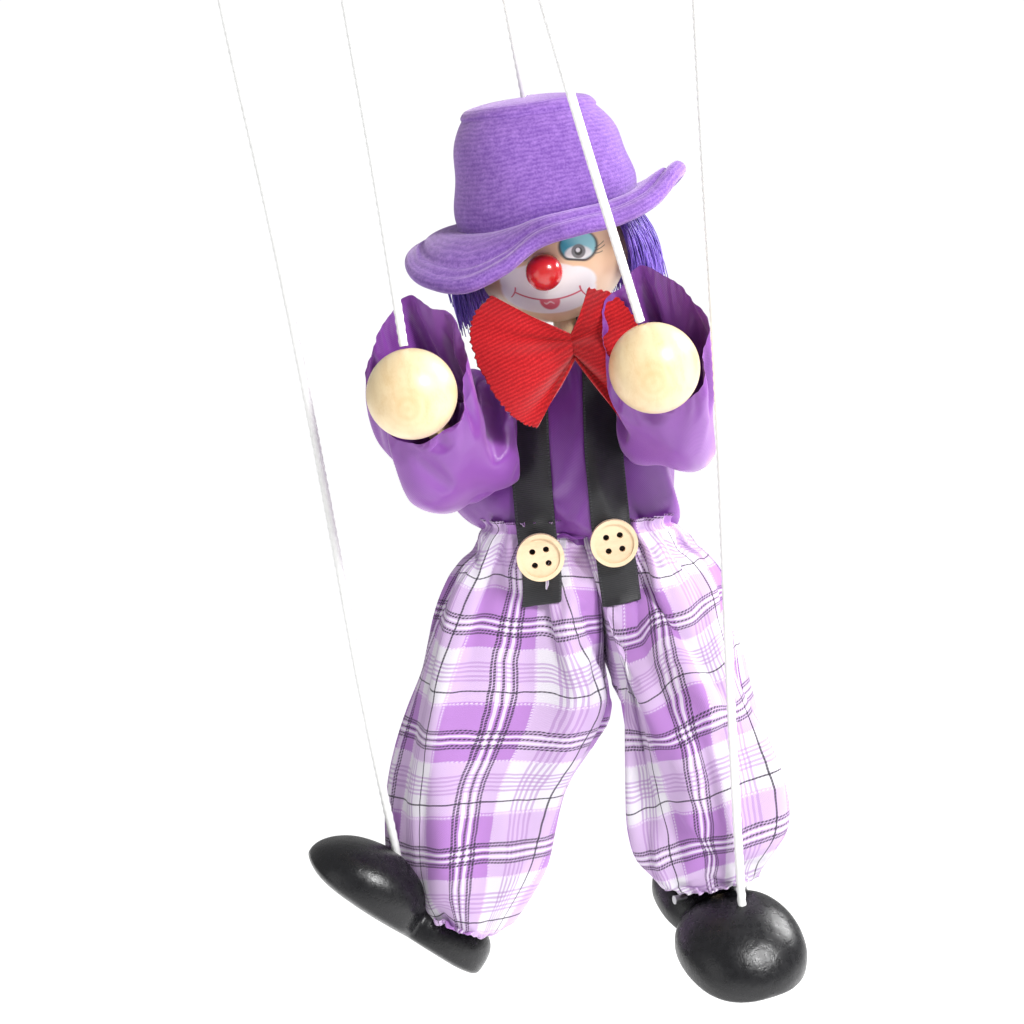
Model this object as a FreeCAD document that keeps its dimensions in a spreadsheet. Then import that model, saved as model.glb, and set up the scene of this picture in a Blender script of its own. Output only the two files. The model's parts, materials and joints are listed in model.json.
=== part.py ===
"""String puppet: a clown with ball head, ball hands and wooden shoes under a wooden control.

Millimetres. +Z is up and the puppet faces -Y. The origin is the top of the control's spine,
on the vertical line of the head string, so the puppet hangs straight below it.
"""
import FreeCAD, Part
import math
import os

V = FreeCAD.Vector
UP = V(0, 0, 1)
SIDES = ("right", "left")
LIMBS = tuple(kind + "_" + side for kind in ("arm", "leg") for side in SIDES)

doc = FreeCAD.newDocument("marionette")
sheet = doc.addObject("Spreadsheet::Sheet", "Sizes")

# ---------------------------------------------------------------- driving dimensions
SIZES = {
    # control
    "control_yaw": 23.1, "slat_corner": 7.0,
    "spine_front": 61.0, "spine_back": 40.0, "spine_width": 16.0, "spine_thickness": 8.0,
    "bar_width": 14.0, "bar_thickness": 6.0, "bar_end": 8.0,
    "foot_bar_offset": 28.5, "foot_hole_right": 70.6, "foot_hole_left": 74.7,
    "hand_bar_offset": 52.2, "hand_hole": 21.7,
    "string_hole_radius": 3.0, "hang_hole_radius": 2.5, "hang_hole_offset": 32.0,
    "brad_radius": 0.9, "brad_head_radius": 2.0, "brad_head_height": 0.8, "brad_length": 12.0,
    # strings
    "string_radius": 1.15, "knot_radius": 4.0, "knot_sink": 1.0, "string_tail": 3.0,
    "string_gap": 0.7, "string_bore_radius": 1.5, "string_bore_depth": 7.0,
    # clearances
    "running_clearance": 0.03, "glue_clearance": 0.05, "layer_gap": 0.15, "cloth_gap": 0.4,
    # head
    "hat_top": -110.0, "head_radius": 22.0, "head_x": -1.0, "head_y": -1.0, "head_z": -150.0,
    "head_turn": -8.0, "nose_radius": 5.0, "nose_drop": 11.0, "nose_stand": 4.0, "nose_seat": 4.2,
    "nose_seat_depth": 0.8,
    "neck_radius": 4.0, "neck_depth": 16.0, "neck_groove": 1.0, "neck_pin_radius": 1.0,
    "neck_pin_drop": 9.0,
    # hat and hair
    "crown_top_radius": 18.5, "crown_seam_radius": 26.0, "crown_seam_z": -142.0,
    "felt_thickness": 2.5, "brim_radius": 38.5, "brim_drop": 7.0, "hat_band_height": 6.0,
    "hair_thickness": 6.0, "hair_top_z": -150.0, "hair_bottom_z": -164.0, "hair_opening": 120.0,
    # torso
    "torso_x": -5.0, "torso_width": 26.0, "torso_depth": 16.0, "torso_top": -179.0,
    "torso_bottom": -236.2, "torso_corner": 3.0, "boss_radius": 4.2, "boss_length": 5.0,
    "shoulder_boss": 9.0, "stem_radius": 2.0,
    # clothes on the torso
    "shirt_top_z": -181.0, "waist_z": -224.0, "seat_bottom_z": -236.6, "seat_pocket": 13.6,
    "shirt_half_width": 14.8, "shirt_half_depth": 12.0, "waist_x": -8.5, "waist_half_width": 26.0,
    "waist_half_depth": 16.0, "bulge_half_width": 31.0, "bulge_half_depth": 18.0, "bulge_z": -218.0,
    "strap_width": 10.0, "strap_thickness": 0.8,
    "button_radius": 6.5, "button_thickness": 2.6, "button_rim": 1.1, "button_dish": 0.7,
    "button_hole_radius": 0.85, "button_hole_pitch": 1.9,
    "bow_x": 0.0, "bow_y": -24.0, "bow_z": -176.5, "bow_knot_width": 9.0, "bow_knot_height": 11.0,
    "bow_knot_depth": 8.0, "bow_left_span": 18.0, "bow_right_span": 9.0, "bow_height": 38.0,
    "bow_drop": 9.0, "bow_thickness": 5.0,
    # limbs
    "slat_width": 7.0, "slat_thickness": 3.0, "pin_radius": 1.2, "pin_head_radius": 2.4,
    "pin_head_height": 0.8,
    "upper_arm_length": 25.0, "forearm_length": 46.0, "hand_radius": 12.0, "hand_tenon": 8.0,
    "thigh_length": 50.0, "shin_length": 50.0,
    "sleeve_radius": 6.0, "sleeve_wall": 0.8, "cuff_radius": 12.9, "cuff_overlap": 1.5,
    "shoulder_gap": 8.0, "elbow_gap": 7.0, "forearm_gap": 12.0,
    "hip_gap": 9.0, "knee_gap": 12.0, "thigh_radius": 8.5, "knee_radius": 12.5, "hem_radius": 10.2,
    "hem_gap": 16.0, "trouser_wall": 2.0, "slat_room": 4.6,
    # shoes, in the shoe's own directions from the ankle pin
    "shoe_length": 53.6, "shoe_width": 30.0, "shoe_height": 16.5, "heel_height": 11.0,
    "sole_thickness": 4.0, "ankle_from_heel": 18.8, "ankle_height": 9.0, "notch_width": 3.4,
    "notch_place": -5.5, "ankle_slot_length": 24.0, "toe_hole": 16.6,
    "ankle_pin_length": 22.0,
}
# places that are chosen, each as x, y, z
PLACES = {
    "shoulder_right": (-29, -2, -188), "shoulder_left": (23, -2, -188),
    "hand_right": (-45, -50, -179), "hand_left": (18.7, -50, -184.5),
    "hip_right": (-16, -3, -243), "hip_left": (4, -3, -243),
    "ankle_right": (-68, -15, -326), "ankle_left": (11.6, -34.4, -330.5),
    "toe_right": (-0.706, -0.09, 0.704), "toe_left": (0.16, -0.85, -0.5),
}


def fill_sheet():
    """Write one row for each size: its name in column A and its number, with the alias, in B."""
    rows = list(SIZES.items())
    for name, place in PLACES.items():
        rows += [(name + "_" + axis, value) for axis, value in zip("xyz", place)]
    for row, (alias, value) in enumerate(rows, start=1):
        sheet.set("A%d" % row, alias)
        sheet.set("B%d" % row, str(value))
        sheet.setAlias("B%d" % row, alias)
    doc.recompute()


fill_sheet()


def size(alias):
    return float(sheet.get(alias))


def place(name):
    return V(*(size(name + "_" + axis) for axis in "xyz"))


def unit(vector):
    return vector / vector.Length


# ---------------------------------------------------------------- building blocks
def frame(origin, z_axis=UP, x_axis=V(1, 0, 0)):
    """Placement with its origin at a point, its Z along z_axis and its X nearest to x_axis."""
    return FreeCAD.Placement(origin, FreeCAD.Rotation(x_axis, V(), z_axis, "ZXY"))


def primitive(kind, name, placement, **sizes):
    """A Part primitive whose properties are bound to expressions on the sheet."""
    shape = doc.addObject("Part::" + kind, name)
    for prop, expression in sizes.items():
        shape.setExpression(prop, expression)
    shape.Placement = placement
    return shape


def rod(name, placement, radius, height):
    return primitive("Cylinder", name, placement, Radius=radius, Height=height)


def block(name, placement, length, width, height):
    """A box centred on its placement in X and Y, standing on it in Z."""
    box = primitive("Box", name, placement, Length=length, Width=width, Height=height)
    doc.recompute()
    shift = V(-box.Length.Value / 2, -box.Width.Value / 2, 0)
    box.Placement = placement.multiply(FreeCAD.Placement(shift, FreeCAD.Rotation()))
    return box


def ball(name, centre, radius):
    return primitive("Sphere", name, FreeCAD.Placement(centre, FreeCAD.Rotation()), Radius=radius)


def fuse(name, *shapes):
    joined = doc.addObject("Part::MultiFuse", name)
    joined.Shapes = list(shapes)
    joined.Refine = True
    return joined


def cut(name, base, *tools):
    """The base less all the tools."""
    tool = tools[0] if len(tools) == 1 else fuse(name + "_tools", *tools)
    left = doc.addObject("Part::Cut", name)
    left.Base = base
    left.Tool = tool
    return left


def group(name, *shapes):
    together = doc.addObject("Part::Compound", name)
    together.Links = list(shapes)
    return together


def solid(name, shape):
    """A sub-part whose shape comes from Part's own functions."""
    feature = doc.addObject("Part::Feature", name)
    feature.Shape = shape
    return feature


NODES = []


def node(name, feature):
    """Name a finished sub-part; it is exported under this name."""
    feature.Label = name
    NODES.append((name, feature))
    return feature


# ---------------------------------------------------------------- where things are
SPINE = V(math.sin(math.radians(size("control_yaw"))), math.cos(math.radians(size("control_yaw"))), 0)
ACROSS = V(SPINE.y, -SPINE.x, 0)
BAR_TOP = -size("spine_thickness")
BAR_MIDDLE = BAR_TOP - size("bar_thickness") / 2
FOOT_BAR = SPINE * -size("foot_bar_offset") + UP * BAR_TOP
HAND_BAR = SPINE * -size("hand_bar_offset") + UP * BAR_TOP
STRING_HOLES = {
    "arm_right": HAND_BAR - ACROSS * size("hand_hole"),
    "arm_left": HAND_BAR + ACROSS * size("hand_hole"),
    "leg_right": FOOT_BAR - ACROSS * size("foot_hole_right"),
    "leg_left": FOOT_BAR + ACROSS * size("foot_hole_left"),
}
MIDDLE_DROP = UP * (size("bar_thickness") / 2)
HEAD = V(size("head_x"), size("head_y"), size("head_z"))
TORSO = V(size("torso_x"), 0, 0)


def middle_pivot(start, end, first, second, axis, bend):
    """The elbow or knee: first from start and second from end, on the bend side of the line."""
    span = (end - start).Length
    along = (first ** 2 - second ** 2 + span ** 2) / (2 * span)
    aside = math.sqrt(first ** 2 - along ** 2)
    line = unit(end - start)
    return start + line * along + axis.cross(line) * aside * bend


def toe_frame(side):
    """The shoe's axes: toe forward in X, sole normal up in Z, origin on the ankle pin."""
    forward = unit(place("toe_" + side))
    return frame(place("ankle_" + side), unit(UP - forward * forward.dot(UP)), forward)


def toe_hole(side):
    """The mouth of the string hole on top of the toe."""
    dome_rise = size("shoe_height") - size("ankle_height")
    return toe_frame(side).multVec(V(size("toe_hole"), 0, dome_rise))


def limb_layout(limb):
    """The pivots of one limb, and the axis that its hinges share.

    All of a limb's hinges are square to the plane through its first pivot and its string.
    """
    kind, side = limb.split("_")
    hole = STRING_HOLES[limb] - MIDDLE_DROP
    if kind == "arm":
        root, end = place("shoulder_" + side), place("hand_" + side)
        string_end = end + unit(hole - end) * size("hand_radius")
        lengths, bend = (size("upper_arm_length"), size("forearm_length")), -1
    else:
        root, end = place("hip_" + side), place("ankle_" + side)
        string_end = toe_hole(side)
        lengths, bend = (size("thigh_length"), size("shin_length")), 1
    axis = unit((string_end - root).cross(hole - string_end))
    end = end - axis * (end - root).dot(axis)
    middle = middle_pivot(root, end, lengths[0], lengths[1], axis, bend)
    inward = axis * (-1 if limb == "arm_right" else 1)
    return {"root": root, "middle": middle, "end": end, "axis": axis, "inward": inward,
            "string_end": string_end, "hole": hole}


LAYOUT = {limb: limb_layout(limb) for limb in LIMBS}
LAYER = size("slat_thickness") + size("layer_gap")
INNER_FACE = LAYER + size("slat_thickness") / 2
OUTER_FACE = size("slat_thickness") / 2


# ---------------------------------------------------------------- control
def rounded_slat(name, centre, direction, start, end, width, thickness):
    """A flat slat with round corners, its top face on the centre's level."""
    length = end - start
    middle = centre + direction * ((start + end) / 2)
    place_on = frame(middle, UP, direction)
    points = Part.makeBox(length, size(width), size(thickness), V(-length / 2, -size(width) / 2,
                                                                  -size(thickness)))
    upright = [edge for edge in points.Edges
               if abs(edge.tangentAt(edge.FirstParameter).z) > 0.9]
    slat = points.makeFillet(size("slat_corner") * 0.9, upright)
    feature = solid(name, slat)
    feature.Placement = place_on
    return feature


def through_hole(name, top, radius, depth="spine_thickness"):
    """A drill that runs past both faces of a slat whose top face is at the given point."""
    return rod(name, frame(top - UP * (size(depth) + 1)), radius, "Sizes.%s + 2" % depth)


def make_control():
    brad_hole = "Sizes.brad_radius + Sizes.glue_clearance"
    spine = rounded_slat("spine_blank", V(), SPINE, -size("spine_front"), size("spine_back"),
                         "spine_width", "spine_thickness")
    brads = [V(bar.x, bar.y, 0) for bar in (FOOT_BAR, HAND_BAR)]
    drills = [through_hole("spine_brad_hole_%d" % i, at, brad_hole) for i, at in enumerate(brads)]
    drills.append(through_hole("head_string_hole", V(), "Sizes.string_bore_radius"))
    drills.append(through_hole("hang_hole", SPINE * size("hang_hole_offset"),
                               "Sizes.hang_hole_radius"))
    node("control_spine", cut("spine_cut", spine, *drills))
    for name, centre, reach in (
            ("foot_bar", FOOT_BAR, (size("foot_hole_right"), size("foot_hole_left"))),
            ("hand_bar", HAND_BAR, (size("hand_hole"), size("hand_hole")))):
        blank = rounded_slat(name + "_blank", centre, ACROSS, -reach[0] - size("bar_end"),
                             reach[1] + size("bar_end"), "bar_width", "bar_thickness")
        holes = [through_hole(name + "_hole_%d" % i, centre + ACROSS * along,
                              "Sizes.string_hole_radius", "bar_thickness")
                 for i, along in enumerate((-reach[0], reach[1]))]
        holes.append(through_hole(name + "_brad_hole", centre, brad_hole, "bar_thickness"))
        node(name, cut(name + "_cut", blank, *holes))
    pieces = []
    for i, at in enumerate(brads):
        shank = rod("brad_shank_%d" % i, frame(at - UP * size("brad_length")),
                    "Sizes.brad_radius", "Sizes.brad_length")
        head = rod("brad_head_%d" % i, frame(at), "Sizes.brad_head_radius",
                   "Sizes.brad_head_height")
        pieces.append(fuse("brad_%d" % i, shank, head))
    node("control_brads", group("brads", *pieces))


# ---------------------------------------------------------------- strings
def make_string(name, bottom, hole_top, knot_name):
    """A taut cord from bottom up through a slat's hole, and the knot that stops it on top."""
    direction = unit(hole_top - bottom)
    knot_rest = hole_top + UP * size("glue_clearance")
    length = (knot_rest - bottom).Length + 2 * size("knot_radius") - size("knot_sink")
    length = length + size("string_tail")
    cord = solid(name + "_tube", Part.makeCylinder(size("string_radius"), length))
    cord.Placement = frame(bottom, direction)
    node(name, cord)
    rise = size("knot_radius") - size("knot_sink")
    centre = knot_rest + direction * (rise / direction.z)
    whole = ball(knot_name + "_ball", centre, "Sizes.knot_radius")
    below = block(knot_name + "_seat", frame(knot_rest - UP * size("knot_radius")),
                  "4 * Sizes.knot_radius", "4 * Sizes.knot_radius", "Sizes.knot_radius")
    bore = rod(knot_name + "_bore", frame(centre - direction * 2 * size("knot_radius"), direction),
               "Sizes.string_radius + 0.02", "4 * Sizes.knot_radius")
    node(knot_name, cut(knot_name + "_cut", whole, below, bore))


def make_strings():
    make_string("string_head", V(0, 0, HEAD.z + size("head_radius") - size("string_bore_depth")),
                V(), "knot_head")
    for limb, plan in LAYOUT.items():
        kind, side = limb.split("_")
        name = ("hand_" if kind == "arm" else "foot_") + side
        toward = unit(plan["hole"] - plan["string_end"])
        top = plan["hole"] + toward * (size("bar_thickness") / 2 / toward.z)
        make_string("string_" + name, plan["string_end"] + toward * size("string_gap"), top,
                    "knot_" + name)


# ---------------------------------------------------------------- head
def make_head():
    turn = math.radians(size("head_turn"))
    facing = V(math.sin(turn), -math.cos(turn), 0)
    nose_way = unit(facing * size("head_radius") - UP * (size("nose_drop") / 2))
    seat = HEAD + nose_way * (size("head_radius") - size("nose_seat_depth"))
    skull = ball("head_blank", HEAD, "Sizes.head_radius")
    string_bore = rod("head_string_bore",
                      frame(V(0, 0, HEAD.z + size("head_radius") - size("string_bore_depth") - 1)),
                      "Sizes.string_bore_radius", "Sizes.string_bore_depth + 6")
    nose_flat = rod("nose_flat", frame(seat, nose_way), "Sizes.nose_seat",
                    "Sizes.nose_radius")
    neck_top = HEAD.z - size("head_radius") + 8
    neck_bore = rod("neck_bore", frame(V(0, 0, HEAD.z - size("head_radius") - 4)),
                    "Sizes.neck_radius + Sizes.glue_clearance", "12 + Sizes.glue_clearance")
    node("head_ball", cut("head_cut", skull, string_bore, nose_flat, neck_bore))

    bead = ball("nose_blank", seat + nose_way * size("nose_stand"), "Sizes.nose_radius")
    behind = rod("nose_back", frame(seat + nose_way * (size("glue_clearance") - size("nose_radius")),
                                    nose_way), "2 * Sizes.nose_radius", "Sizes.nose_radius")
    node("nose", cut("nose_cut", bead, behind))

    neck_bottom = size("torso_top") - size("neck_depth")
    peg = solid("neck_blank", Part.makeCylinder(size("neck_radius"), neck_top - neck_bottom,
                                                V(0, 0, neck_bottom)))
    pin_z = size("torso_top") - size("neck_pin_drop")
    ring_height = 2 * (size("neck_pin_radius") + size("layer_gap"))
    ring = Part.makeCylinder(size("neck_radius") + 1, ring_height, V(0, 0, pin_z - ring_height / 2))
    core = Part.makeCylinder(size("neck_radius") - size("neck_groove"), ring_height,
                             V(0, 0, pin_z - ring_height / 2))
    node("neck_peg", cut("neck_cut", peg, solid("neck_groove_ring", ring.cut(core))))
    make_hat()
    make_hair()


def revolve(points, centre=V()):
    """A closed profile of (radius, z) points turned about the vertical through centre."""
    wire = Part.makePolygon([V(radius, 0, z) for radius, z in points + points[:1]])
    shape = Part.Face(wire).revolve(V(), UP, 360)
    shape.translate(centre)
    return shape


def make_hat():
    """Felt crown and brim; a band inside the crown grips the head."""
    top, seam, felt = size("hat_top"), size("crown_seam_z"), size("felt_thickness")
    grip = size("head_radius") + size("glue_clearance") + 1.6
    brim_low = seam - size("brim_drop")
    profile = [
        (size("string_bore_radius"), top),
        (size("crown_top_radius") - 2, top),
        (size("crown_top_radius"), top - 3),
        (size("crown_seam_radius"), seam),
        (size("brim_radius"), brim_low + felt),
        (size("brim_radius"), brim_low),
        (size("crown_seam_radius"), seam - felt - 1.5),
        (grip, seam - felt - 1.5),
        (grip, seam + size("hat_band_height") / 2),
        (size("crown_top_radius") - felt, top - 2 * felt),
        (size("string_bore_radius"), top - felt),
    ]
    node("hat", solid("hat_solid", revolve(profile)))


def make_hair():
    """Straight fibre hair as a band round the back and sides of the head."""
    top, bottom = size("hair_top_z"), size("hair_bottom_z")
    inner = size("head_radius") + size("glue_clearance")
    outer = inner + size("hair_thickness")
    opening = size("hair_opening")
    start = -90 + size("head_turn") + opening / 2
    band = Part.makeCylinder(outer, top - bottom, V(HEAD.x, HEAD.y, bottom), UP, 360 - opening)
    band.rotate(V(HEAD.x, HEAD.y, 0), UP, start)
    band = band.cut(Part.makeSphere(inner, HEAD))
    node("hair", solid("hair_solid", band))


# ---------------------------------------------------------------- torso
def boss_frame(plan):
    """At the inner face of a limb's first slat, looking inward, with X pointing up."""
    return frame(plan["root"] + plan["inward"] * (INNER_FACE + size("layer_gap")),
                 plan["inward"], UP)


def make_torso():
    box = Part.makeBox(size("torso_width"), size("torso_depth"),
                       size("torso_top") - size("torso_bottom"),
                       TORSO + V(-size("torso_width") / 2, -size("torso_depth") / 2,
                                 size("torso_bottom")))
    upright = [edge for edge in box.Edges if abs(edge.tangentAt(edge.FirstParameter).z) > 0.9]
    pieces = [solid("torso_blank", box.makeFillet(size("torso_corner"), upright))]
    holes = []
    for limb, plan in LAYOUT.items():
        spot = boss_frame(plan)
        reach = "shoulder_boss" if limb.startswith("arm") else "boss_length"
        pieces.append(rod(limb + "_boss", spot, "Sizes.boss_radius", "Sizes." + reach))
        if limb.startswith("leg"):
            middle = spot.Base + plan["inward"] * (size("boss_length") / 2)
            rise = spot.Rotation.multVec(V(1, 0, 0))
            stem = size("torso_bottom") + 3 - middle.z
            pieces.append(solid(limb + "_stem", Part.makeCylinder(size("stem_radius"),
                                                                  stem / rise.z, middle, rise)))
        holes.append(rod(limb + "_boss_bore", frame(spot.Base - plan["inward"] * 2,
                                                    plan["inward"]),
                         "Sizes.pin_radius + Sizes.glue_clearance",
                         "2 + Sizes.boss_length + 0.5"))
    neck_bottom = size("torso_top") - size("neck_depth")
    holes.append(rod("neck_socket", frame(V(0, 0, neck_bottom - 1)),
                     "Sizes.neck_radius + Sizes.running_clearance", "Sizes.neck_depth + 2"))
    pin_x = size("neck_radius") - size("neck_groove") + size("neck_pin_radius")
    pin_x = pin_x + size("running_clearance")
    pin_z = size("torso_top") - size("neck_pin_drop")
    half_depth = size("torso_depth") / 2
    holes.append(rod("neck_pin_bore", frame(V(pin_x, -half_depth - 1, pin_z), V(0, 1, 0)),
                     "Sizes.neck_pin_radius + Sizes.glue_clearance", "Sizes.torso_depth + 2"))
    node("torso_block", cut("torso_cut", fuse("torso_fused", *pieces), *holes))
    node("neck_pin", rod("neck_pin_rod", frame(V(pin_x, -half_depth, pin_z), V(0, 1, 0)),
                         "Sizes.neck_pin_radius", "Sizes.torso_depth"))
    for kind, name in (("arm", "shoulder_pins"), ("leg", "hip_pins")):
        pins = [make_pin(name + "_" + side, LAYOUT[kind + "_" + side], "root",
                         INNER_FACE + size("layer_gap") + size("boss_length"), None,
                         LAYER - size("slat_thickness") / 2) for side in SIDES]
        node(name, group(name + "_group", *pins))


def make_pin(name, plan, pivot, inner_end, inner_head, outer_face):
    """A pin along the limb's axis; a head sits on the outer face and, if given, on the inner."""
    inward = plan["inward"]
    at = plan[pivot]
    gap = size("layer_gap")
    outer_end = outer_face - gap
    shank = rod(name + "_shank", frame(at + inward * (outer_end - size("pin_head_height") / 2),
                                       inward), "Sizes.pin_radius", "1")
    shank.setExpression("Height", "%.4f" % (inner_end - outer_end + size("pin_head_height") / 2))
    heads = [rod(name + "_head", frame(at + inward * (outer_end - size("pin_head_height")),
                                       inward),
                 "Sizes.pin_head_radius", "Sizes.pin_head_height")]
    if inner_head is not None:
        heads.append(rod(name + "_inner_head", frame(at + inward * (inner_head + gap), inward),
                         "Sizes.pin_head_radius", "Sizes.pin_head_height"))
    return fuse(name, shank, *heads)


def ellipse_wire(centre_x, z, half_width, half_depth):
    circle = Part.Ellipse(V(centre_x, 0, z), half_width, half_depth)
    return Part.Wire([circle.toShape()])


def loft(stations):
    return Part.makeLoft([ellipse_wire(*station) for station in stations], True, False)


def torso_room():
    """The space that the torso block takes in the clothes, with a gap all round."""
    gap = size("cloth_gap")
    wide, deep = size("torso_width") + 2 * gap, size("torso_depth") + 2 * gap
    return Part.makeBox(wide, deep, 90, TORSO + V(-wide / 2, -deep / 2, -250))


def make_clothes():
    gap = size("cloth_gap")
    shirt = loft([
        (size("torso_x"), size("shirt_top_z"), size("shirt_half_width") - 0.6,
         size("shirt_half_depth") - 2.5),
        (size("torso_x"), -198.0, size("shirt_half_width"), size("shirt_half_depth")),
        (size("torso_x") - 2, size("bulge_z"), size("bulge_half_width"),
         size("bulge_half_depth")),
        (size("waist_x"), size("waist_z"), size("waist_half_width"), size("waist_half_depth")),
    ])
    shirt = shirt.cut(torso_room())
    for side in SIDES:
        spot = boss_frame(LAYOUT["arm_" + side])
        room = Part.makeCylinder(size("boss_radius") + gap, size("shoulder_boss") + 6,
                                 spot.Base - LAYOUT["arm_" + side]["inward"] * 6,
                                 LAYOUT["arm_" + side]["inward"])
        shirt = shirt.cut(room)
    node("shirt_body", solid("shirt_solid", shirt))
    seat = loft([
        (size("waist_x"), size("waist_z") - gap, size("waist_half_width"),
         size("waist_half_depth")),
        (size("waist_x") + 1, (size("waist_z") + size("seat_bottom_z")) / 2,
         size("waist_half_width") + 0.8, size("waist_half_depth") + 1),
        (size("waist_x") + 1, size("seat_bottom_z"), size("waist_half_width"),
         size("waist_half_depth") + 0.5),
    ])
    seat = seat.cut(torso_room())
    for side in SIDES:
        seat = seat.cut(Part.makeSphere(size("seat_pocket"), place("hip_" + side)))
    node("trouser_seat", solid("seat_solid", seat))
    make_straps()
    make_bow()


def ribbon(stations, width, thickness):
    """A flat strap through (centre, normal) stations, its width along X."""
    wires = []
    for centre, normal in stations:
        across = V(width / 2, 0, 0)
        deep = unit(normal) * thickness
        corners = [centre - across, centre + across, centre + across + deep,
                   centre - across + deep]
        wires.append(Part.makePolygon(corners + corners[:1]))
    return Part.makeLoft(wires, True, True)


STRAP_TOP_X = {"right": -16.8, "left": 10.0}
STRAP_FOOT_X = {"right": -19.9, "left": 0.6}
STRAP_FOOT_Z = -238.0


def make_straps():
    """Each strap runs up the chest, over the shoulder and down the back to the waistband."""
    over = size("torso_top") + 1.4
    front = -size("bulge_half_depth") - 1.2
    for side in SIDES:
        top_x, foot_x = STRAP_TOP_X[side], STRAP_FOOT_X[side]
        near_x = top_x + (foot_x - top_x) * 0.4
        run = [
            (V(foot_x, front, STRAP_FOOT_Z), V(0, -1, 0)),
            (V(foot_x, front, size("bulge_z") + 2), V(0, -1, 0)),
            (V(near_x, -size("shirt_half_depth") - 1.6, -200), V(0, -1, 0.25)),
            (V(top_x, -size("shirt_half_depth") - 0.2, -184), V(0, -1, 0.4)),
            (V(top_x, -size("torso_depth") / 2 + 1, over), V(0, -0.5, 1)),
            (V(top_x, size("torso_depth") / 2 - 1, over), V(0, 0.5, 1)),
            (V(top_x, size("shirt_half_depth") + 0.2, -184), V(0, 1, 0.4)),
            (V(near_x, size("shirt_half_depth") + 1.6, -200), V(0, 1, 0.25)),
            (V(foot_x, -front, size("bulge_z") + 2), V(0, 1, 0)),
            (V(foot_x, -front, STRAP_FOOT_Z), V(0, 1, 0)),
        ]
        node("strap_" + side, solid("strap_solid_" + side,
                                    ribbon(run, size("strap_width"), size("strap_thickness"))))
        make_button(side, V(foot_x, front - size("strap_thickness") - size("glue_clearance"),
                            -232.5))


def make_button(side, back):
    """A turned wooden button with a raised rim, a shallow dish and four holes."""
    front = V(0, -1, 0)
    disc = rod("button_disc_" + side, frame(back, front), "Sizes.button_radius",
               "Sizes.button_thickness")
    dish = rod("button_dish_" + side,
               frame(back + front * (size("button_thickness") - size("button_dish")), front),
               "Sizes.button_radius - Sizes.button_rim", "Sizes.button_dish + 1")
    holes = [rod("button_hole_%s_%d" % (side, i),
                 frame(back + V(dx, 1, dz), front),
                 "Sizes.button_hole_radius", "Sizes.button_thickness + 2")
             for i, (dx, dz) in enumerate((sx * size("button_hole_pitch"),
                                           sz * size("button_hole_pitch"))
                                          for sx in (-1, 1) for sz in (-1, 1))]
    node("button_" + side, cut("button_cut_" + side, disc, dish, *holes))


def make_bow():
    """A felt bow: a pinched middle and two lobes that hang a little below it."""
    middle = V(size("bow_x"), size("bow_y"), size("bow_z"))
    wide, high, deep = (size("bow_knot_" + name) for name in ("width", "height", "depth"))
    bow = Part.makeBox(wide, deep, high, middle + V(-wide / 2, -deep / 2, -high / 2))
    bow = bow.makeFillet(2.0, bow.Edges)
    thick = size("bow_thickness")
    for span in (-size("bow_left_span"), size("bow_right_span")):
        inner_x = math.copysign(wide / 2 - 1.5, span)
        wires = []
        for x, half, drop in ((inner_x, high / 2 - 2.5, 0), (inner_x + span, size("bow_height") / 2,
                                                             size("bow_drop"))):
            centre = middle + V(x, 0, -drop)
            corners = [centre + V(0, dy, dz) for dy, dz in ((-thick / 2, -half), (thick / 2, -half),
                                                            (thick / 2, half), (-thick / 2, half))]
            wires.append(Part.makePolygon(corners + corners[:1]))
        bow = bow.fuse(Part.makeLoft(wires, True, True))
    node("bow_tie", solid("bow_solid", bow))


# ---------------------------------------------------------------- limbs
def limb_slat(name, start, end, plan, layer, square_end=False, pin_at_end=True):
    """A flat wooden link between two pivots, in one layer of the limb's stack."""
    length = (end - start).Length
    base = frame(start + plan["inward"] * (LAYER * layer), plan["axis"], unit(end - start))
    width, thick = size("slat_width"), size("slat_thickness")
    plate = Part.makeBox(length, width, thick, V(0, -width / 2, -thick / 2))
    plate = plate.fuse(Part.makeCylinder(width / 2, thick, V(0, 0, -thick / 2)))
    if not square_end:
        plate = plate.fuse(Part.makeCylinder(width / 2, thick, V(length, 0, -thick / 2)))
    bore = size("pin_radius") + size("running_clearance")
    plate = plate.removeSplitter().cut(Part.makeCylinder(bore, 2 * thick, V(0, 0, -thick)))
    if pin_at_end:
        plate = plate.cut(Part.makeCylinder(bore, 2 * thick, V(length, 0, -thick)))
    feature = solid(name + "_plate", plate)
    feature.Placement = base
    return feature


def cloth_tube(start, direction, stations, bore):
    """A soft sleeve round a link: (distance, radius) stations, with a round bore for the link."""
    points = [(bore, stations[0][0])] + [(radius, along) for along, radius in stations]
    points.append((bore, stations[-1][0]))
    wire = Part.makePolygon([V(radius, 0, along) for radius, along in points + points[:1]])
    shape = Part.Face(wire).revolve(V(), UP, 360)
    shape.Placement = frame(start, direction)
    return shape


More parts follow.
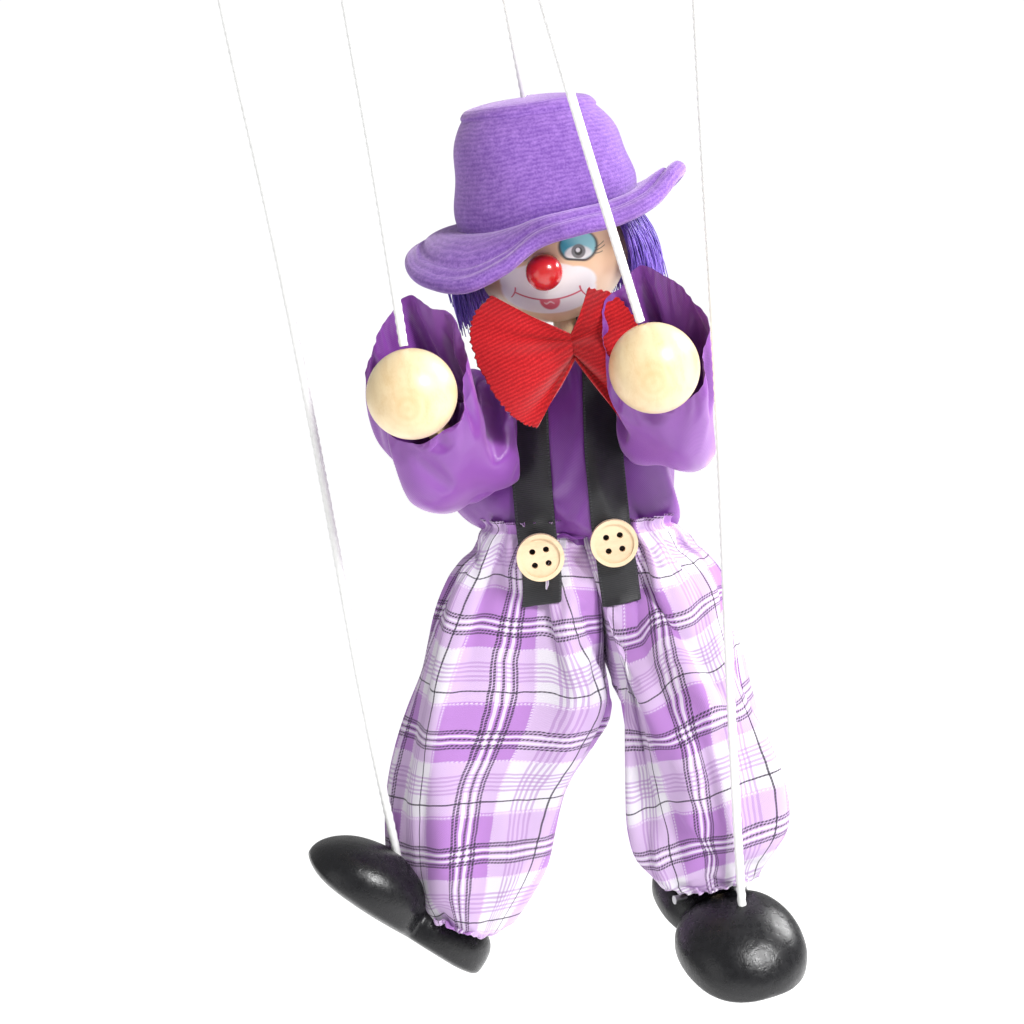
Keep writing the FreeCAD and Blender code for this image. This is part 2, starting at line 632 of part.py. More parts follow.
def make_arm(side):
    plan = LAYOUT["arm_" + side]
    upper_line = unit(plan["middle"] - plan["root"])
    fore_line = unit(plan["end"] - plan["middle"])
    upper_start = plan["root"] + plan["inward"] * LAYER
    node("upper_arm_" + side, limb_slat("upper_arm_" + side, plan["root"], plan["middle"], plan, 1))
    tenon_end = plan["end"] - fore_line * (size("hand_radius") - size("hand_tenon"))
    node("forearm_" + side, limb_slat("forearm_" + side, plan["middle"], tenon_end, plan, 0,
                                      square_end=True, pin_at_end=False))
    node("elbow_pin_" + side, make_pin("elbow_pin_" + side, plan, "middle", INNER_FACE + 0.9,
                                       INNER_FACE, -OUTER_FACE))
    upper = cloth_tube(upper_start, upper_line, [
        (size("shoulder_gap"), size("sleeve_radius")),
        (size("upper_arm_length") - size("elbow_gap"), size("sleeve_radius"))], size("slat_room"))
    node("upper_sleeve_" + side, solid("upper_sleeve_solid_" + side, upper))

    hand = ball("hand_blank_" + side, plan["end"], "Sizes.hand_radius")
    gap = size("glue_clearance")
    mortise = solid("mortise_" + side, Part.makeBox(
        size("hand_radius") + 4, size("slat_width") + 2 * gap, size("slat_thickness") + 2 * gap,
        V(-size("hand_radius") - 4, -size("slat_width") / 2 - gap,
          -size("slat_thickness") / 2 - gap)))
    mortise.Placement = frame(tenon_end + fore_line * gap, plan["axis"], fore_line)
    toward = unit(plan["hole"] - plan["end"])
    string_bore = rod("hand_string_bore_" + side,
                      frame(plan["string_end"] - toward * size("string_bore_depth"), toward),
                      "Sizes.string_bore_radius", "Sizes.string_bore_depth + 3")
    node("hand_" + side, cut("hand_cut_" + side, hand, mortise, string_bore))

    reach = size("forearm_length")
    wall = size("sleeve_wall")
    gap = size("cloth_gap")
    ball_r = size("hand_radius")
    cuff_inner = size("cuff_radius") - wall
    start = size("forearm_gap")
    outer = [(size("slat_room") + 3, start), (size("cuff_radius"), reach - ball_r),
             (size("cuff_radius"), reach + size("cuff_overlap"))]
    inner = [(cuff_inner, reach + size("cuff_overlap")), (cuff_inner, reach - ball_r + 1),
             (size("slat_room"), start + 8), (size("slat_room"), start)]
    wire_points = [V(radius, 0, along) for radius, along in outer + inner + outer[:1]]
    sleeve = Part.Face(Part.makePolygon(wire_points)).revolve(V(), UP, 360)
    sleeve.Placement = frame(plan["middle"], fore_line)
    node("lower_sleeve_" + side, solid("lower_sleeve_solid_" + side, sleeve))


def make_leg(side):
    plan = LAYOUT["leg_" + side]
    thigh_line = unit(plan["middle"] - plan["root"])
    shin_line = unit(plan["end"] - plan["middle"])
    node("thigh_" + side, limb_slat("thigh_" + side, plan["root"], plan["middle"], plan, 1))
    node("shin_" + side, limb_slat("shin_" + side, plan["middle"], plan["end"], plan, 0))
    node("knee_pin_" + side, make_pin("knee_pin_" + side, plan, "middle", INNER_FACE + 0.9,
                                      INNER_FACE, -OUTER_FACE))
    thigh = cloth_tube(plan["root"] + plan["inward"] * LAYER, thigh_line, [
        (size("hip_gap"), size("thigh_radius")),
        (size("thigh_length") - size("knee_gap"), size("knee_radius"))], size("slat_room"))
    node("trouser_thigh_" + side, solid("trouser_thigh_solid_" + side, thigh))
    shin = cloth_tube(plan["middle"], shin_line, [
        (size("knee_gap"), size("knee_radius")),
        (size("shin_length") - size("hem_gap"), size("hem_radius"))], size("slat_room"))
    node("trouser_shin_" + side, solid("trouser_shin_solid_" + side, shin))
    make_shoe(side, plan)


def make_shoe(side, plan):
    """A carved shoe: a domed toe and a low heel on one sole, with a slot for the shin."""
    axes = toe_frame(side)
    length, width = size("shoe_length"), size("shoe_width")
    rear, floor = -size("ankle_from_heel"), -size("ankle_height")
    toe_end = rear + length
    round_toe = width / 2
    outline = [
        Part.LineSegment(V(rear + 8, -width * 0.38, floor), V(toe_end - round_toe, -width / 2, floor)),
        Part.Arc(V(toe_end - round_toe, -width / 2, floor), V(toe_end, 0, floor),
                 V(toe_end - round_toe, width / 2, floor)),
        Part.LineSegment(V(toe_end - round_toe, width / 2, floor), V(rear + 8, width * 0.38, floor)),
        Part.Arc(V(rear + 8, width * 0.38, floor), V(rear, 0, floor),
                 V(rear + 8, -width * 0.38, floor)),
    ]
    face = Part.Face(Part.Wire([curve.toShape() for curve in outline]))
    sole = face.extrude(V(0, 0, size("sole_thickness")))
    whole = face.extrude(V(0, 0, size("shoe_height") + 2))
    toe_centre = toe_end - 21.0
    dome = Part.makeSphere(1.0)
    stretch = FreeCAD.Matrix()
    stretch.scale(V(21.6, width / 2 + 1.2, size("shoe_height")))
    dome = dome.transformGeometry(stretch)
    dome.translate(V(toe_centre, 0, floor))
    toe = whole.common(dome)
    heel_box = Part.makeBox(size("ankle_from_heel") + 6, width, size("heel_height"),
                            V(rear, -width / 2, floor))
    heel = whole.common(heel_box)
    shoe = sole.fuse([toe, heel])
    notch = Part.makeBox(size("notch_width"), width + 4, 40,
                         V(size("notch_place"), -width / 2 - 2, floor + size("sole_thickness")))
    shoe = shoe.cut(notch)
    slot_gap = size("slat_thickness") + 2 * size("layer_gap")
    slot = Part.makeBox(size("ankle_slot_length"), 40, slot_gap,
                        V(-size("ankle_slot_length") / 2, -5.0, -slot_gap / 2))
    slot.Placement = frame(plan["end"], plan["axis"],
                           axes.Rotation.multVec(V(1, 0, 0))).multiply(slot.Placement)
    up = axes.Rotation.multVec(V(0, 0, 1))
    slot_up = slot.CenterOfMass - plan["end"]
    if slot_up.dot(up) < 0:
        slot.rotate(plan["end"], plan["axis"], 180)
    pin_bore = Part.makeCylinder(size("pin_radius") + size("glue_clearance"), 60,
                                 plan["end"] - plan["axis"] * 30, plan["axis"])
    toward = unit(plan["hole"] - plan["string_end"])
    string_bore = Part.makeCylinder(size("string_bore_radius"), size("string_bore_depth") + 4,
                                    plan["string_end"] - toward * size("string_bore_depth"), toward)
    shoe.Placement = axes
    shoe = shoe.cut(slot).cut(pin_bore).cut(string_bore)
    node("shoe_" + side, solid("shoe_solid_" + side, shoe))
    half = size("ankle_pin_length") / 2
    pin = rod("ankle_pin_rod_" + side, frame(plan["end"] - plan["axis"] * half, plan["axis"]),
              "Sizes.pin_radius", "Sizes.ankle_pin_length")
    node("ankle_pin_" + side, pin)


# ---------------------------------------------------------------- build and export
def check_and_export():
    doc.recompute()
    for item in doc.Objects:
        if "Invalid" in item.State or "Error" in item.State:
            raise RuntimeError("failed to build: " + item.Name)
    os.makedirs("parts", exist_ok=True)
    for name, feature in NODES:
        shape = feature.Shape
        if shape.isNull() or not shape.isValid() or not shape.Solids:
            raise RuntimeError("bad shape: " + name)
        shape.exportStep(os.path.join("parts", name + ".step"))
    print("nodes", len(NODES))


make_control()
make_strings()
make_head()
make_torso()
make_clothes()
for which in SIDES:
    make_arm(which)
    make_leg(which)
check_and_export()
for limb_name, plan_of in LAYOUT.items():
    print(limb_name, {key: [round(c, 3) for c in value] for key, value in plan_of.items()})
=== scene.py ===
# %% [markdown]
# # A string puppet, finished in Blender
# The puppet is a clown with a wooden ball head, ball hands and black wooden shoes. It hangs on five
# white cords from a wooden control. The wood, the pins and the control already have their true
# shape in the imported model, so they only need a finish. The cloth, the hat, the hair, the shoes,
# the bow and the cords are made again here, because their look depends on folds, fibres and soft
# edges.

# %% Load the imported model
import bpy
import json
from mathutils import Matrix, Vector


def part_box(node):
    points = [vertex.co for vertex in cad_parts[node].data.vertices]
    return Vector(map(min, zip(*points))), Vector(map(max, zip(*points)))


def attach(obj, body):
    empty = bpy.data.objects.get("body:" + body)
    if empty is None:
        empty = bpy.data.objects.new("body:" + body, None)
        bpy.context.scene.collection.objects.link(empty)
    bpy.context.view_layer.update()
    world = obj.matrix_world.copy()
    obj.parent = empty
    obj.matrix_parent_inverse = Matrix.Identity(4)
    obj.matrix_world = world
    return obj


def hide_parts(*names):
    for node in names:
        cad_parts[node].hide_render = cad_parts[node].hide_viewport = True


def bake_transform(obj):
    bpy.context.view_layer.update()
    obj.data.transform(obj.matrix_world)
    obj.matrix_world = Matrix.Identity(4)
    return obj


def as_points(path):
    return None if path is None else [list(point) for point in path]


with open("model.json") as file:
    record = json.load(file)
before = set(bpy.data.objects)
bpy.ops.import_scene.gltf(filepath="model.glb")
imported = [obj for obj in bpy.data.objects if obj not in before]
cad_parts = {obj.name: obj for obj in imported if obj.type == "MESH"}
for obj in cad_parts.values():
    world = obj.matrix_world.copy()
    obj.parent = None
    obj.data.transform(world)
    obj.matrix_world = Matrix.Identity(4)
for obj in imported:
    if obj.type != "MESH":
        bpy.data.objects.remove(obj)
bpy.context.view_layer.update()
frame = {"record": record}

# %% [markdown]
# ## Units, places and small helpers
# Every length in this lesson is written in millimetres and turned into metres where a mesh is made.
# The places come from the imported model: the joints give the shoulders, hips and ankles, and the
# box of a part gives where it lies. That keeps each new piece on its own limb.

# %% Units and places
import json
import math
import bmesh
import bpy
import numpy as np
from mathutils import Matrix, Vector

MM = 0.001
SIDES = ("right", "left")
JOINTS = {joint["name"]: joint for joint in frame["record"]["behaviour"]["joints"]}


def joint_at(name):
    """Where a joint sits, in millimetres."""
    return np.array(JOINTS[name]["pos_m"]) / MM


def middle(node):
    """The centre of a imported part's box, in millimetres."""
    low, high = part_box(node)
    return (np.array(low) + np.array(high)) / 2 / MM


def unit(vector):
    vector = np.asarray(vector, float)
    return vector / np.linalg.norm(vector)


# %% [markdown]
# ## A grid that becomes a skin
# Most soft pieces are a skin laid over rows of points. `skin` takes the rows, joins each to the
# next, and keeps a map of where every point lies along and around the piece. The weave, the
# checks and the stitches follow that map, so they bend with the cloth.

# %% A mesh from rows of points
def mesh_object(name, points, faces, smooth=True):
    """A new object in the scene from points in millimetres."""
    mesh = bpy.data.meshes.new(name)
    mesh.from_pydata([tuple(p) for p in np.asarray(points) * MM], [], faces)
    mesh.update()
    piece = bpy.data.objects.new(name, mesh)
    bpy.context.scene.collection.objects.link(piece)
    mesh.polygons.foreach_set("use_smooth", [smooth] * len(mesh.polygons))
    return piece


def skin(name, rows, closed=True, chart=None):
    """Rows of points, each as long as the others, joined into a skin; chart gives (u, v) in mm."""
    rows = np.asarray(rows, float)
    many, wide = rows.shape[:2]
    turns = wide if closed else wide - 1
    faces, chart_faces = [], []
    for row in range(many - 1):
        for step in range(turns):
            near, far = step, (step + 1) % wide
            faces.append((row * wide + near, row * wide + far,
                          (row + 1) * wide + far, (row + 1) * wide + near))
            chart_faces.append(((row, step), (row, step + 1),
                                (row + 1, step + 1), (row + 1, step)))
    piece = mesh_object(name, rows.reshape(-1, 3), faces)
    layer = piece.data.uv_layers.new(name="cloth")
    if chart is None:
        chart = lambda row, step: (step / turns, row / (many - 1))
    spots = [chart(*corner) for face in chart_faces for corner in face]
    layer.data.foreach_set("uv", np.array(spots, np.float32).ravel())
    return piece


def modified(piece):
    """The piece's own mesh with its modifiers applied, and none of them left."""
    bpy.context.view_layer.update()
    graph = bpy.context.evaluated_depsgraph_get()
    mesh = bpy.data.meshes.new_from_object(piece.evaluated_get(graph), depsgraph=graph,
                                           preserve_all_data_layers=True)
    piece.modifiers.clear()
    old, piece.data = piece.data, mesh
    mesh.name = old.name
    bpy.data.meshes.remove(old)
    return piece


def add_modifier(piece, kind, **settings):
    modifier = piece.modifiers.new(kind.title(), kind)
    for key, value in settings.items():
        setattr(modifier, key, value)
    return modifier


# %% [markdown]
# ## Writing node trees as expressions
# A material is a tree of nodes, and its sums are easier to read as sums. `Term` wraps one socket
# and turns `+`, `*` and the rest into Math nodes. `Tree.add` makes any other node from its type,
# its settings and the values or links of its sockets. The same two classes write Geometry Nodes.

# %% Terms and trees
class Term:
    """One number of a node tree; Python's operators on it add Math nodes."""

    def __init__(self, tree, socket):
        self.tree, self.socket = tree, socket

    def sum(self, operation, *others):
        return self.tree.sum(operation, self, *others)

    def __add__(self, other):
        return self.sum("ADD", other)

    def __sub__(self, other):
        return self.sum("SUBTRACT", other)

    def __rsub__(self, other):
        return self.tree.sum("SUBTRACT", other, self)

    def __mul__(self, other):
        return self.sum("MULTIPLY", other)

    def __truediv__(self, other):
        return self.sum("DIVIDE", other)

    def __neg__(self):
        return self * -1.0

    def __pow__(self, other):
        return self.sum("POWER", other)

    def __abs__(self):
        return self.sum("ABSOLUTE")

    def __mod__(self, other):
        return self.sum("FLOORED_MODULO", other)

    def root(self):
        return self.sum("SQRT")

    def sine(self):
        return self.sum("SINE")

    def least(self, other):
        return self.sum("MINIMUM", other)

    def most(self, other):
        return self.sum("MAXIMUM", other)

    def fade(self, start, end):
        """0 before start, 1 after end, and a smooth slope between; end may be the smaller."""
        if start > end:
            return 1 - self.fade(end, start)
        return self.tree.add("ShaderNodeMapRange", {"interpolation_type": "SMOOTHSTEP"},
                             {0: self, 1: start, 2: end})

    __radd__, __rmul__ = __add__, __mul__


class Tree:
    """A node tree that is filled by calls."""

    def __init__(self, nodes):
        self.nodes = nodes

    def add(self, kind, settings=None, sockets=None, out=0):
        node = self.nodes.nodes.new(kind)
        for key, value in (settings or {}).items():
            if key == "stops":
                self.set_stops(node.color_ramp.elements, value)
            else:
                setattr(node, key, value)
        for key, value in (sockets or {}).items():
            if isinstance(value, Term):
                self.nodes.links.new(value.socket, node.inputs[key])
            else:
                node.inputs[key].default_value = value
        return Term(self, node.outputs[out]) if len(node.outputs) else node

    @staticmethod
    def set_stops(elements, stops):
        while len(elements) < len(stops):
            elements.new(0.5)
        for element, (place, colour) in zip(elements, stops):
            element.position, element.color = place, (*colour, 1.0)

    def sum(self, operation, *terms):
        return self.add("ShaderNodeMath", {"operation": operation}, dict(enumerate(terms)))

    def axes(self, vector):
        """The three numbers of a vector."""
        split = self.add("ShaderNodeSeparateXYZ", None, {0: vector}).socket.node
        return [Term(self, socket) for socket in split.outputs]

    def vector(self, x, y, z):
        return self.add("ShaderNodeCombineXYZ", None, {0: x, 1: y, 2: z})


class Finish(Tree):
    """A material: colour, gloss and relief that change over the surface."""

    def __init__(self, name):
        self.material = bpy.data.materials.new(name)
        self.material.use_nodes = True
        super().__init__(self.material.node_tree)
        self.nodes.nodes.clear()

    def place(self):
        """Where a point of the surface is, in millimetres."""
        here = self.add("ShaderNodeTexCoord", out="Object")
        return self.add("ShaderNodeVectorMath", {"operation": "SCALE"}, {0: here, 3: 1 / MM})

    def chart(self):
        """The piece's own map in millimetres: along u and along v."""
        here = self.add("ShaderNodeUVMap", {"uv_map": "cloth"})
        return self.axes(here)[:2]

    def noise(self, vector, scale, detail=3.0, rough=0.5, warp=0.0):
        return self.add("ShaderNodeTexNoise", None, {"Vector": vector, "Scale": scale,
                        "Detail": detail, "Roughness": rough, "Distortion": warp})

    def mix(self, factor, low, high):
        """A colour between low and high."""
        low, high = ((*c, 1.0) if isinstance(c, tuple) else c for c in (low, high))
        return self.add("ShaderNodeMix", {"data_type": "RGBA"}, {0: factor, 6: low, 7: high}, out=2)

    def ramp(self, factor, *stops):
        return self.add("ShaderNodeValToRGB", {"stops": stops}, {0: factor})

    def relief(self, height, depth_mm, strength=1.0, below=None):
        """A bump whose full height is depth_mm."""
        sockets = {"Height": height, "Distance": depth_mm * MM, "Strength": strength}
        if below is not None:
            sockets["Normal"] = below
        return self.add("ShaderNodeBump", None, sockets)

    def surface(self, **sockets):
        """The shader itself; names use _ for a space."""
        named = {key.replace("_", " "): ((*v, 1.0) if isinstance(v, tuple) and len(v) == 3 else v)
                 for key, v in sockets.items()}
        shader = self.add("ShaderNodeBsdfPrincipled", None, named)
        self.add("ShaderNodeOutputMaterial", None, {0: shader})
        print("finish", self.material.name, len(self.nodes.nodes), "nodes")
        return self.material


def paint(piece, material):
    """Give a piece one material, whatever it had."""
    piece.data.materials.clear()
    piece.data.materials.append(material)


def paint_nodes(material, *nodes):
    """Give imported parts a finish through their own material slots."""
    for node in nodes:
        for slot in bpy.data.objects[node].material_slots:
            slot.link = "OBJECT"
            slot.material = material


# %% [markdown]
# ## Camera, light and floor
# The puppet hangs from a hand, so there is nothing under it. A pale floor far below and a wide soft
# light give the clean look of a studio. The camera looks slightly down, and it is rolled a little,
# because the puppet leans as it hangs. Only the lower part of the cords is in view.

# %% The camera
AIM = np.array([-25.14, -15.40, -219.58])
DISTANCE = 900.0
DOWN, ROLL = math.radians(8.0), math.radians(-11.0)
forward = np.array([0, math.cos(DOWN), -math.sin(DOWN)])
level_right, level_up = np.array([1.0, 0, 0]), np.array([0, math.sin(DOWN), math.cos(DOWN)])
camera_right = math.cos(ROLL) * level_right + math.sin(ROLL) * level_up
camera_up = math.cos(ROLL) * level_up - math.sin(ROLL) * level_right
lens = bpy.data.cameras.new("camera")
lens.sensor_width, lens.lens, lens.clip_start = 36.0, 115.49, 0.01
camera = bpy.data.objects.new("camera", lens)
bpy.context.scene.collection.objects.link(camera)
turn = Matrix([[camera_right[i], camera_up[i], -forward[i]] for i in range(3)]).to_4x4()
camera.matrix_world = Matrix.Translation(Vector((AIM - forward * DISTANCE) * MM)) @ turn
bpy.context.scene.camera = camera
print("camera at", [round(c, 4) for c in camera.location])

# %% Lights, room and floor
FLOOR_Z = -0.62


def soft_light(name, place, aim, size, watts):
    lamp = bpy.data.lights.new(name, "AREA")
    lamp.shape, lamp.size, lamp.energy = "DISK", size, watts
    holder = bpy.data.objects.new(name, lamp)
    bpy.context.scene.collection.objects.link(holder)
    holder.location = place
    holder.rotation_euler = (Vector(aim) - Vector(place)).to_track_quat("-Z", "Y").to_euler()


CENTRE = (-0.02, -0.01, -0.22)
soft_light("key", (0.60, -0.72, 0.34), CENTRE, 0.32, 12.5)
soft_light("fill", (-0.9, -0.7, -0.05), CENTRE, 0.8, 1.5)
soft_light("edge", (0.75, 0.25, 0.20), CENTRE, 0.45, 9.0)
world = bpy.data.worlds.new("room")
bpy.context.scene.world = world
world.use_nodes = True
room = Tree(world.node_tree)
seen = room.add("ShaderNodeLightPath")
backdrop = world.node_tree.nodes["Background"]
backdrop.inputs["Color"].default_value = (1, 1, 1, 1)
world.node_tree.links.new((seen * 0.64 + 0.40).socket, backdrop.inputs["Strength"])
bpy.context.scene.view_settings.view_transform = "Standard"

floor = mesh_object("floor", [(-4000, -4000, FLOOR_Z / MM), (4000, -4000, FLOOR_Z / MM),
                              (4000, 4000, FLOOR_Z / MM), (-4000, 4000, FLOOR_Z / MM)],
                    [(0, 1, 2, 3)])
floor_finish = Finish("pale_floor")
paint(floor, floor_finish.surface(Base_Color=(0.93, 0.93, 0.93), Roughness=0.9,
                                   Emission_Color=(1, 1, 1), Emission_Strength=0.64))
print("floor at", FLOOR_Z)

# %% [markdown]
# ## Braided cord
# Each string is a white cord about 2.3 mm across, braided from fine yarns. It could be a plain tube
# with a bumpy finish, but the braid shows along its edge, so the relief is real. Each route is one
# smooth curve, and a Geometry Nodes tree sweeps a ring along it and lifts the ring where the two
# sets of yarns cross.

# %% The finish and the braid of the cord
cord_finish = Finish("white_braid")
place = cord_finish.place()
dust = cord_finish.noise(place, 0.25, 2.0)
yarn = cord_finish.noise(place, 5.0, 2.0)
cord_white = cord_finish.surface(
    Base_Color=cord_finish.mix(dust, (0.80, 0.80, 0.79), (0.93, 0.93, 0.92)), Roughness=0.75,
    Normal=cord_finish.relief(yarn, 0.05, 0.6), Sheen_Weight=0.3, Subsurface_Weight=0.0)


def braid_rule(material):
    """The tree: a route in, a braided cord out."""
    group = bpy.data.node_groups.new("braided cord", "GeometryNodeTree")
    face = group.interface
    face.new_socket("Route", in_out="INPUT", socket_type="NodeSocketGeometry")
    for name, value in (("Radius", 0.00115), ("Pitch", 0.0026), ("Relief", 0.00009)):
        face.new_socket(name, in_out="INPUT", socket_type="NodeSocketFloat").default_value = value
    face.new_socket("Cord", in_out="OUTPUT", socket_type="NodeSocketGeometry")
    tree = Tree(group)
    entry = tree.add("NodeGroupInput").socket.node
    route, radius, pitch, relief = (Term(tree, socket) for socket in entry.outputs[:4])
    dense = tree.add("GeometryNodeResampleCurve", {"mode": "LENGTH"},
                     {"Curve": route, "Length": pitch / 6})
    along = tree.add("GeometryNodeSplineParameter", out="Length")
    dense = tree.add("GeometryNodeStoreNamedAttribute", {"data_type": "FLOAT", "domain": "POINT"},
                     {"Geometry": dense, "Name": "along", "Value": along})
    ring = tree.add("GeometryNodeCurvePrimitiveCircle", None, {"Resolution": 12, "Radius": radius})
    around = tree.add("GeometryNodeSplineParameter", out="Factor")
    ring = tree.add("GeometryNodeStoreNamedAttribute", {"data_type": "FLOAT", "domain": "POINT"},
                    {"Geometry": ring, "Name": "around", "Value": around})
    tube = tree.add("GeometryNodeCurveToMesh", None,
                    {"Curve": dense, "Profile Curve": ring, "Fill Caps": True})
    read = lambda name: tree.add("GeometryNodeInputNamedAttribute", {"data_type": "FLOAT"},
                                 {"Name": name})
    wind, run = read("around") * (6 * math.pi), read("along") / pitch * math.tau
    lift = (wind + run).sine().most((wind - run).sine())
    outward = tree.add("GeometryNodeInputNormal")
    shift = tree.add("ShaderNodeVectorMath", {"operation": "SCALE"}, {0: outward, 3: lift * relief})
    tube = tree.add("GeometryNodeSetPosition", None, {"Geometry": tube, "Offset": shift})
    tube = tree.add("GeometryNodeSetShadeSmooth", None, {"Geometry": tube})
    tube = tree.add("GeometryNodeRealizeInstances", None, {"Geometry": tube})
    tube = tree.add("GeometryNodeSetMaterial", None, {"Geometry": tube, "Material": material})
    tree.add("NodeGroupOutput", None, {"Cord": tube})
    return group


braid = braid_rule(cord_white)
print("braid tree", len(braid.nodes), "nodes")

# %% A cord swept along a route
def route_object(name, points):
    """One open smooth curve through given points in millimetres."""
    curve = bpy.data.curves.new(name, "CURVE")
    curve.dimensions = "3D"
    spline = curve.splines.new("NURBS")
    spline.points.add(len(points) - 1)
    for point, place in zip(spline.points, points):
        point.co = (*(np.asarray(place) * MM), 1.0)
    spline.order_u, spline.use_endpoint_u, spline.resolution_u = 3, True, 8
    piece = bpy.data.objects.new(name, curve)
    bpy.context.scene.collection.objects.link(piece)
    return piece


def route_points(route):
    """The points of the smooth line, in metres."""
    bpy.context.view_layer.update()
    graph = bpy.context.evaluated_depsgraph_get()
    mesh = bpy.data.meshes.new_from_object(route.evaluated_get(graph))
    places = [list(vertex.co) for vertex in mesh.vertices]
    bpy.data.meshes.remove(mesh)
    return places


def swept(name, points, rule, **inputs):
    """A cord mesh along given points, and the line that it follows."""
    route = route_object(name + "_route", points)
    line = route_points(route)
    modifier = route.modifiers.new("sweep", "NODES")
    modifier.node_group = rule
    for item in rule.interface.items_tree:
        if item.item_type == "SOCKET" and item.in_out == "INPUT" and item.name in inputs:
            modifier[item.identifier] = inputs[item.name]
    bpy.context.view_layer.update()
    graph = bpy.context.evaluated_depsgraph_get()
    mesh = bpy.data.meshes.new_from_object(route.evaluated_get(graph), depsgraph=graph)
    mesh.name = name
    piece = bpy.data.objects.new(name, mesh)
    bpy.context.scene.collection.objects.link(piece)
    bpy.data.objects.remove(route)
    return piece, line


# %% [markdown]
# ## The five strings and their knots
# One string carries the head. The other four leave the hands and the toes, pass up through a hole
# in a bar of the control, and end in a knot that can't pass the hole. Under load they are almost
# straight, with the slight kinks of a cord that was wound on a card.

# %% Make the five strings
def string_run(name, start, kinks):
    """Points from the limb up to the knot's tail, each kink moved sideways a little."""
    knot = middle(name.replace("string", "knot"))
    low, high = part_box(name)
    top_z = high[2] / MM
    way = unit(knot - start)
    end = start + way * ((top_z - start[2]) / way[2])
    points = [start]
    for part, shift_x, shift_y in kinks:
        points.append(start + (end - start) * part + np.array([shift_x, shift_y, 0]))
    return points + [end]


def knot_points(centre, way):
    """A simple overhand knot, closed round the cord."""
    side = unit(np.cross(way, (0.3, 1, 0.1)))
    other = np.cross(way, side)
    points = []
    for t in np.linspace(0, math.tau, 40):
        x = math.sin(t) + 2 * math.sin(2 * t)
        y = math.cos(t) - 2 * math.cos(2 * t)
        points.append(centre + side * x * 0.80 + other * y * 0.80 - way * math.sin(3 * t) * 1.15)
    return points


STRINGS = {
    "string_head": (None, [(0.5, 0.2, 0)], "control_and_torso"),
    "string_hand_right": ("hand_string_swing_right", [(0.25, 0.5, 0), (0.6, -0.3, 0)],
                          "hand_string_right"),
    "string_hand_left": ("hand_string_swing_left", [(0.3, -0.4, 0), (0.65, 0.3, 0)],
                         "hand_string_left"),
    "string_foot_right": ("foot_string_swing_right", [(0.12, -0.9, 0), (0.32, 0.6, 0),
                          (0.55, 1.3, 0), (0.75, -0.4, 0), (0.9, 0, 0)], "foot_string_right"),
    "string_foot_left": ("foot_string_swing_left", [(0.15, -0.6, 0), (0.4, 0.7, 0),
                         (0.65, -0.3, 0), (0.9, 0, 0)], "foot_string_left"),
}
for name, (swing, kinks, body) in STRINGS.items():
    start = joint_at(swing) if swing else middle(name) * (1, 1, 0) + (0, 0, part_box(name)[0][2] / MM)
    if swing:
        start = start + unit(middle(name) - start) * 0.7
    points = string_run(name, start, kinks)
    cord, line = swept(name.replace("string", "cord"), points, braid)
    knot_name = name.replace("string", "knot")
    knot, _ = swept(knot_name.replace("knot", "overhand"),
                    knot_points(middle(knot_name), unit(points[-1] - points[-2])), braid)
    for piece, node in ((cord, name), (knot, knot_name)):
        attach(piece, body)
        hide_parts(node)
    length = sum(math.dist(a, b) for a, b in zip(line, line[1:]))
    tuple(points[0] * MM)
    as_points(line)
    print(cord.name, round(length, 4), "m,", len(cord.data.polygons), "faces")

# %% [markdown]
# ## Wood
# The hands, the limbs, the buttons and the control are plain pale wood under a thin varnish. Long
# noise along the grain gives the streaks, and a finer one gives the pores. The grain direction is
# a setting, because the slats are cut along it and the balls are turned across it.

# %% Wood finishes
def wood(name, light, dark, grain, rough=0.42, spot=None, coat=0.35):
    """A varnished wood; grain is how much longer a streak is along each axis; spot is end grain."""
    finish = Finish(name)
    place = finish.place()
    stretch = tuple(1.0 / g for g in grain)
    along = finish.add("ShaderNodeVectorMath", {"operation": "MULTIPLY"}, {0: place, 1: stretch})
    streak = finish.noise(along, 0.34, 3.0, 0.5, 0.4)
    pore = finish.noise(along, 3.2, 3.0, 0.6)
    tone = (streak * 1.2 + pore * 0.4 - 0.45).fade(0.1, 1.2)
    colour = finish.mix(tone, light, dark)
    if spot is not None:
        offset = finish.add("ShaderNodeVectorMath", {"operation": "DISTANCE"}, {0: place, 1: spot},
                            out=1)
        rings = (offset * 2.4 + streak * 3).sine() * 0.10
        colour = finish.mix(offset.fade(9.0, 1.5) * (0.42 + rings), colour, dark)
    return finish.surface(Base_Color=colour, Roughness=pore * 0.16 + rough, Coat_Weight=coat,
                          Coat_Roughness=0.22, Normal=finish.relief(pore, 0.05, 0.5))


MAPLE, MAPLE_DARK = (0.83, 0.66, 0.40), (0.62, 0.40, 0.17)
paint_nodes(wood("control_pine", (0.72, 0.52, 0.29), (0.46, 0.27, 0.11), (4, 1, 1)),
            "control_spine", "hand_bar", "foot_bar")
paint_nodes(wood("slat_birch", (0.76, 0.58, 0.35), (0.52, 0.34, 0.16), (1, 1, 5)), "torso_block",
            "neck_peg", *[part + "_" + side for part in ("upper_arm", "forearm", "thigh", "shin")
                          for side in SIDES])
for side in SIDES:
    ball = middle("hand_" + side)
    paint_nodes(wood("hand_maple_" + side, MAPLE, MAPLE_DARK, (1.0, 3.0, 2.2), 0.34,
                     tuple(ball + np.array((-1.5, -11.5, -2.5))), 0.5), "hand_" + side)
paint_nodes(wood("button_maple", (0.80, 0.62, 0.41), (0.60, 0.40, 0.22), (3, 1, 1), 0.5,
                 coat=0.15), "button_right", "button_left")

# %% [markdown]
# ## Steel pins and black paint
# The pins and the brads are bright steel wire. The black paint is for the shoes, which are carved
# further on. It is not flat: it has a skin like an orange, and dust grains show as points.

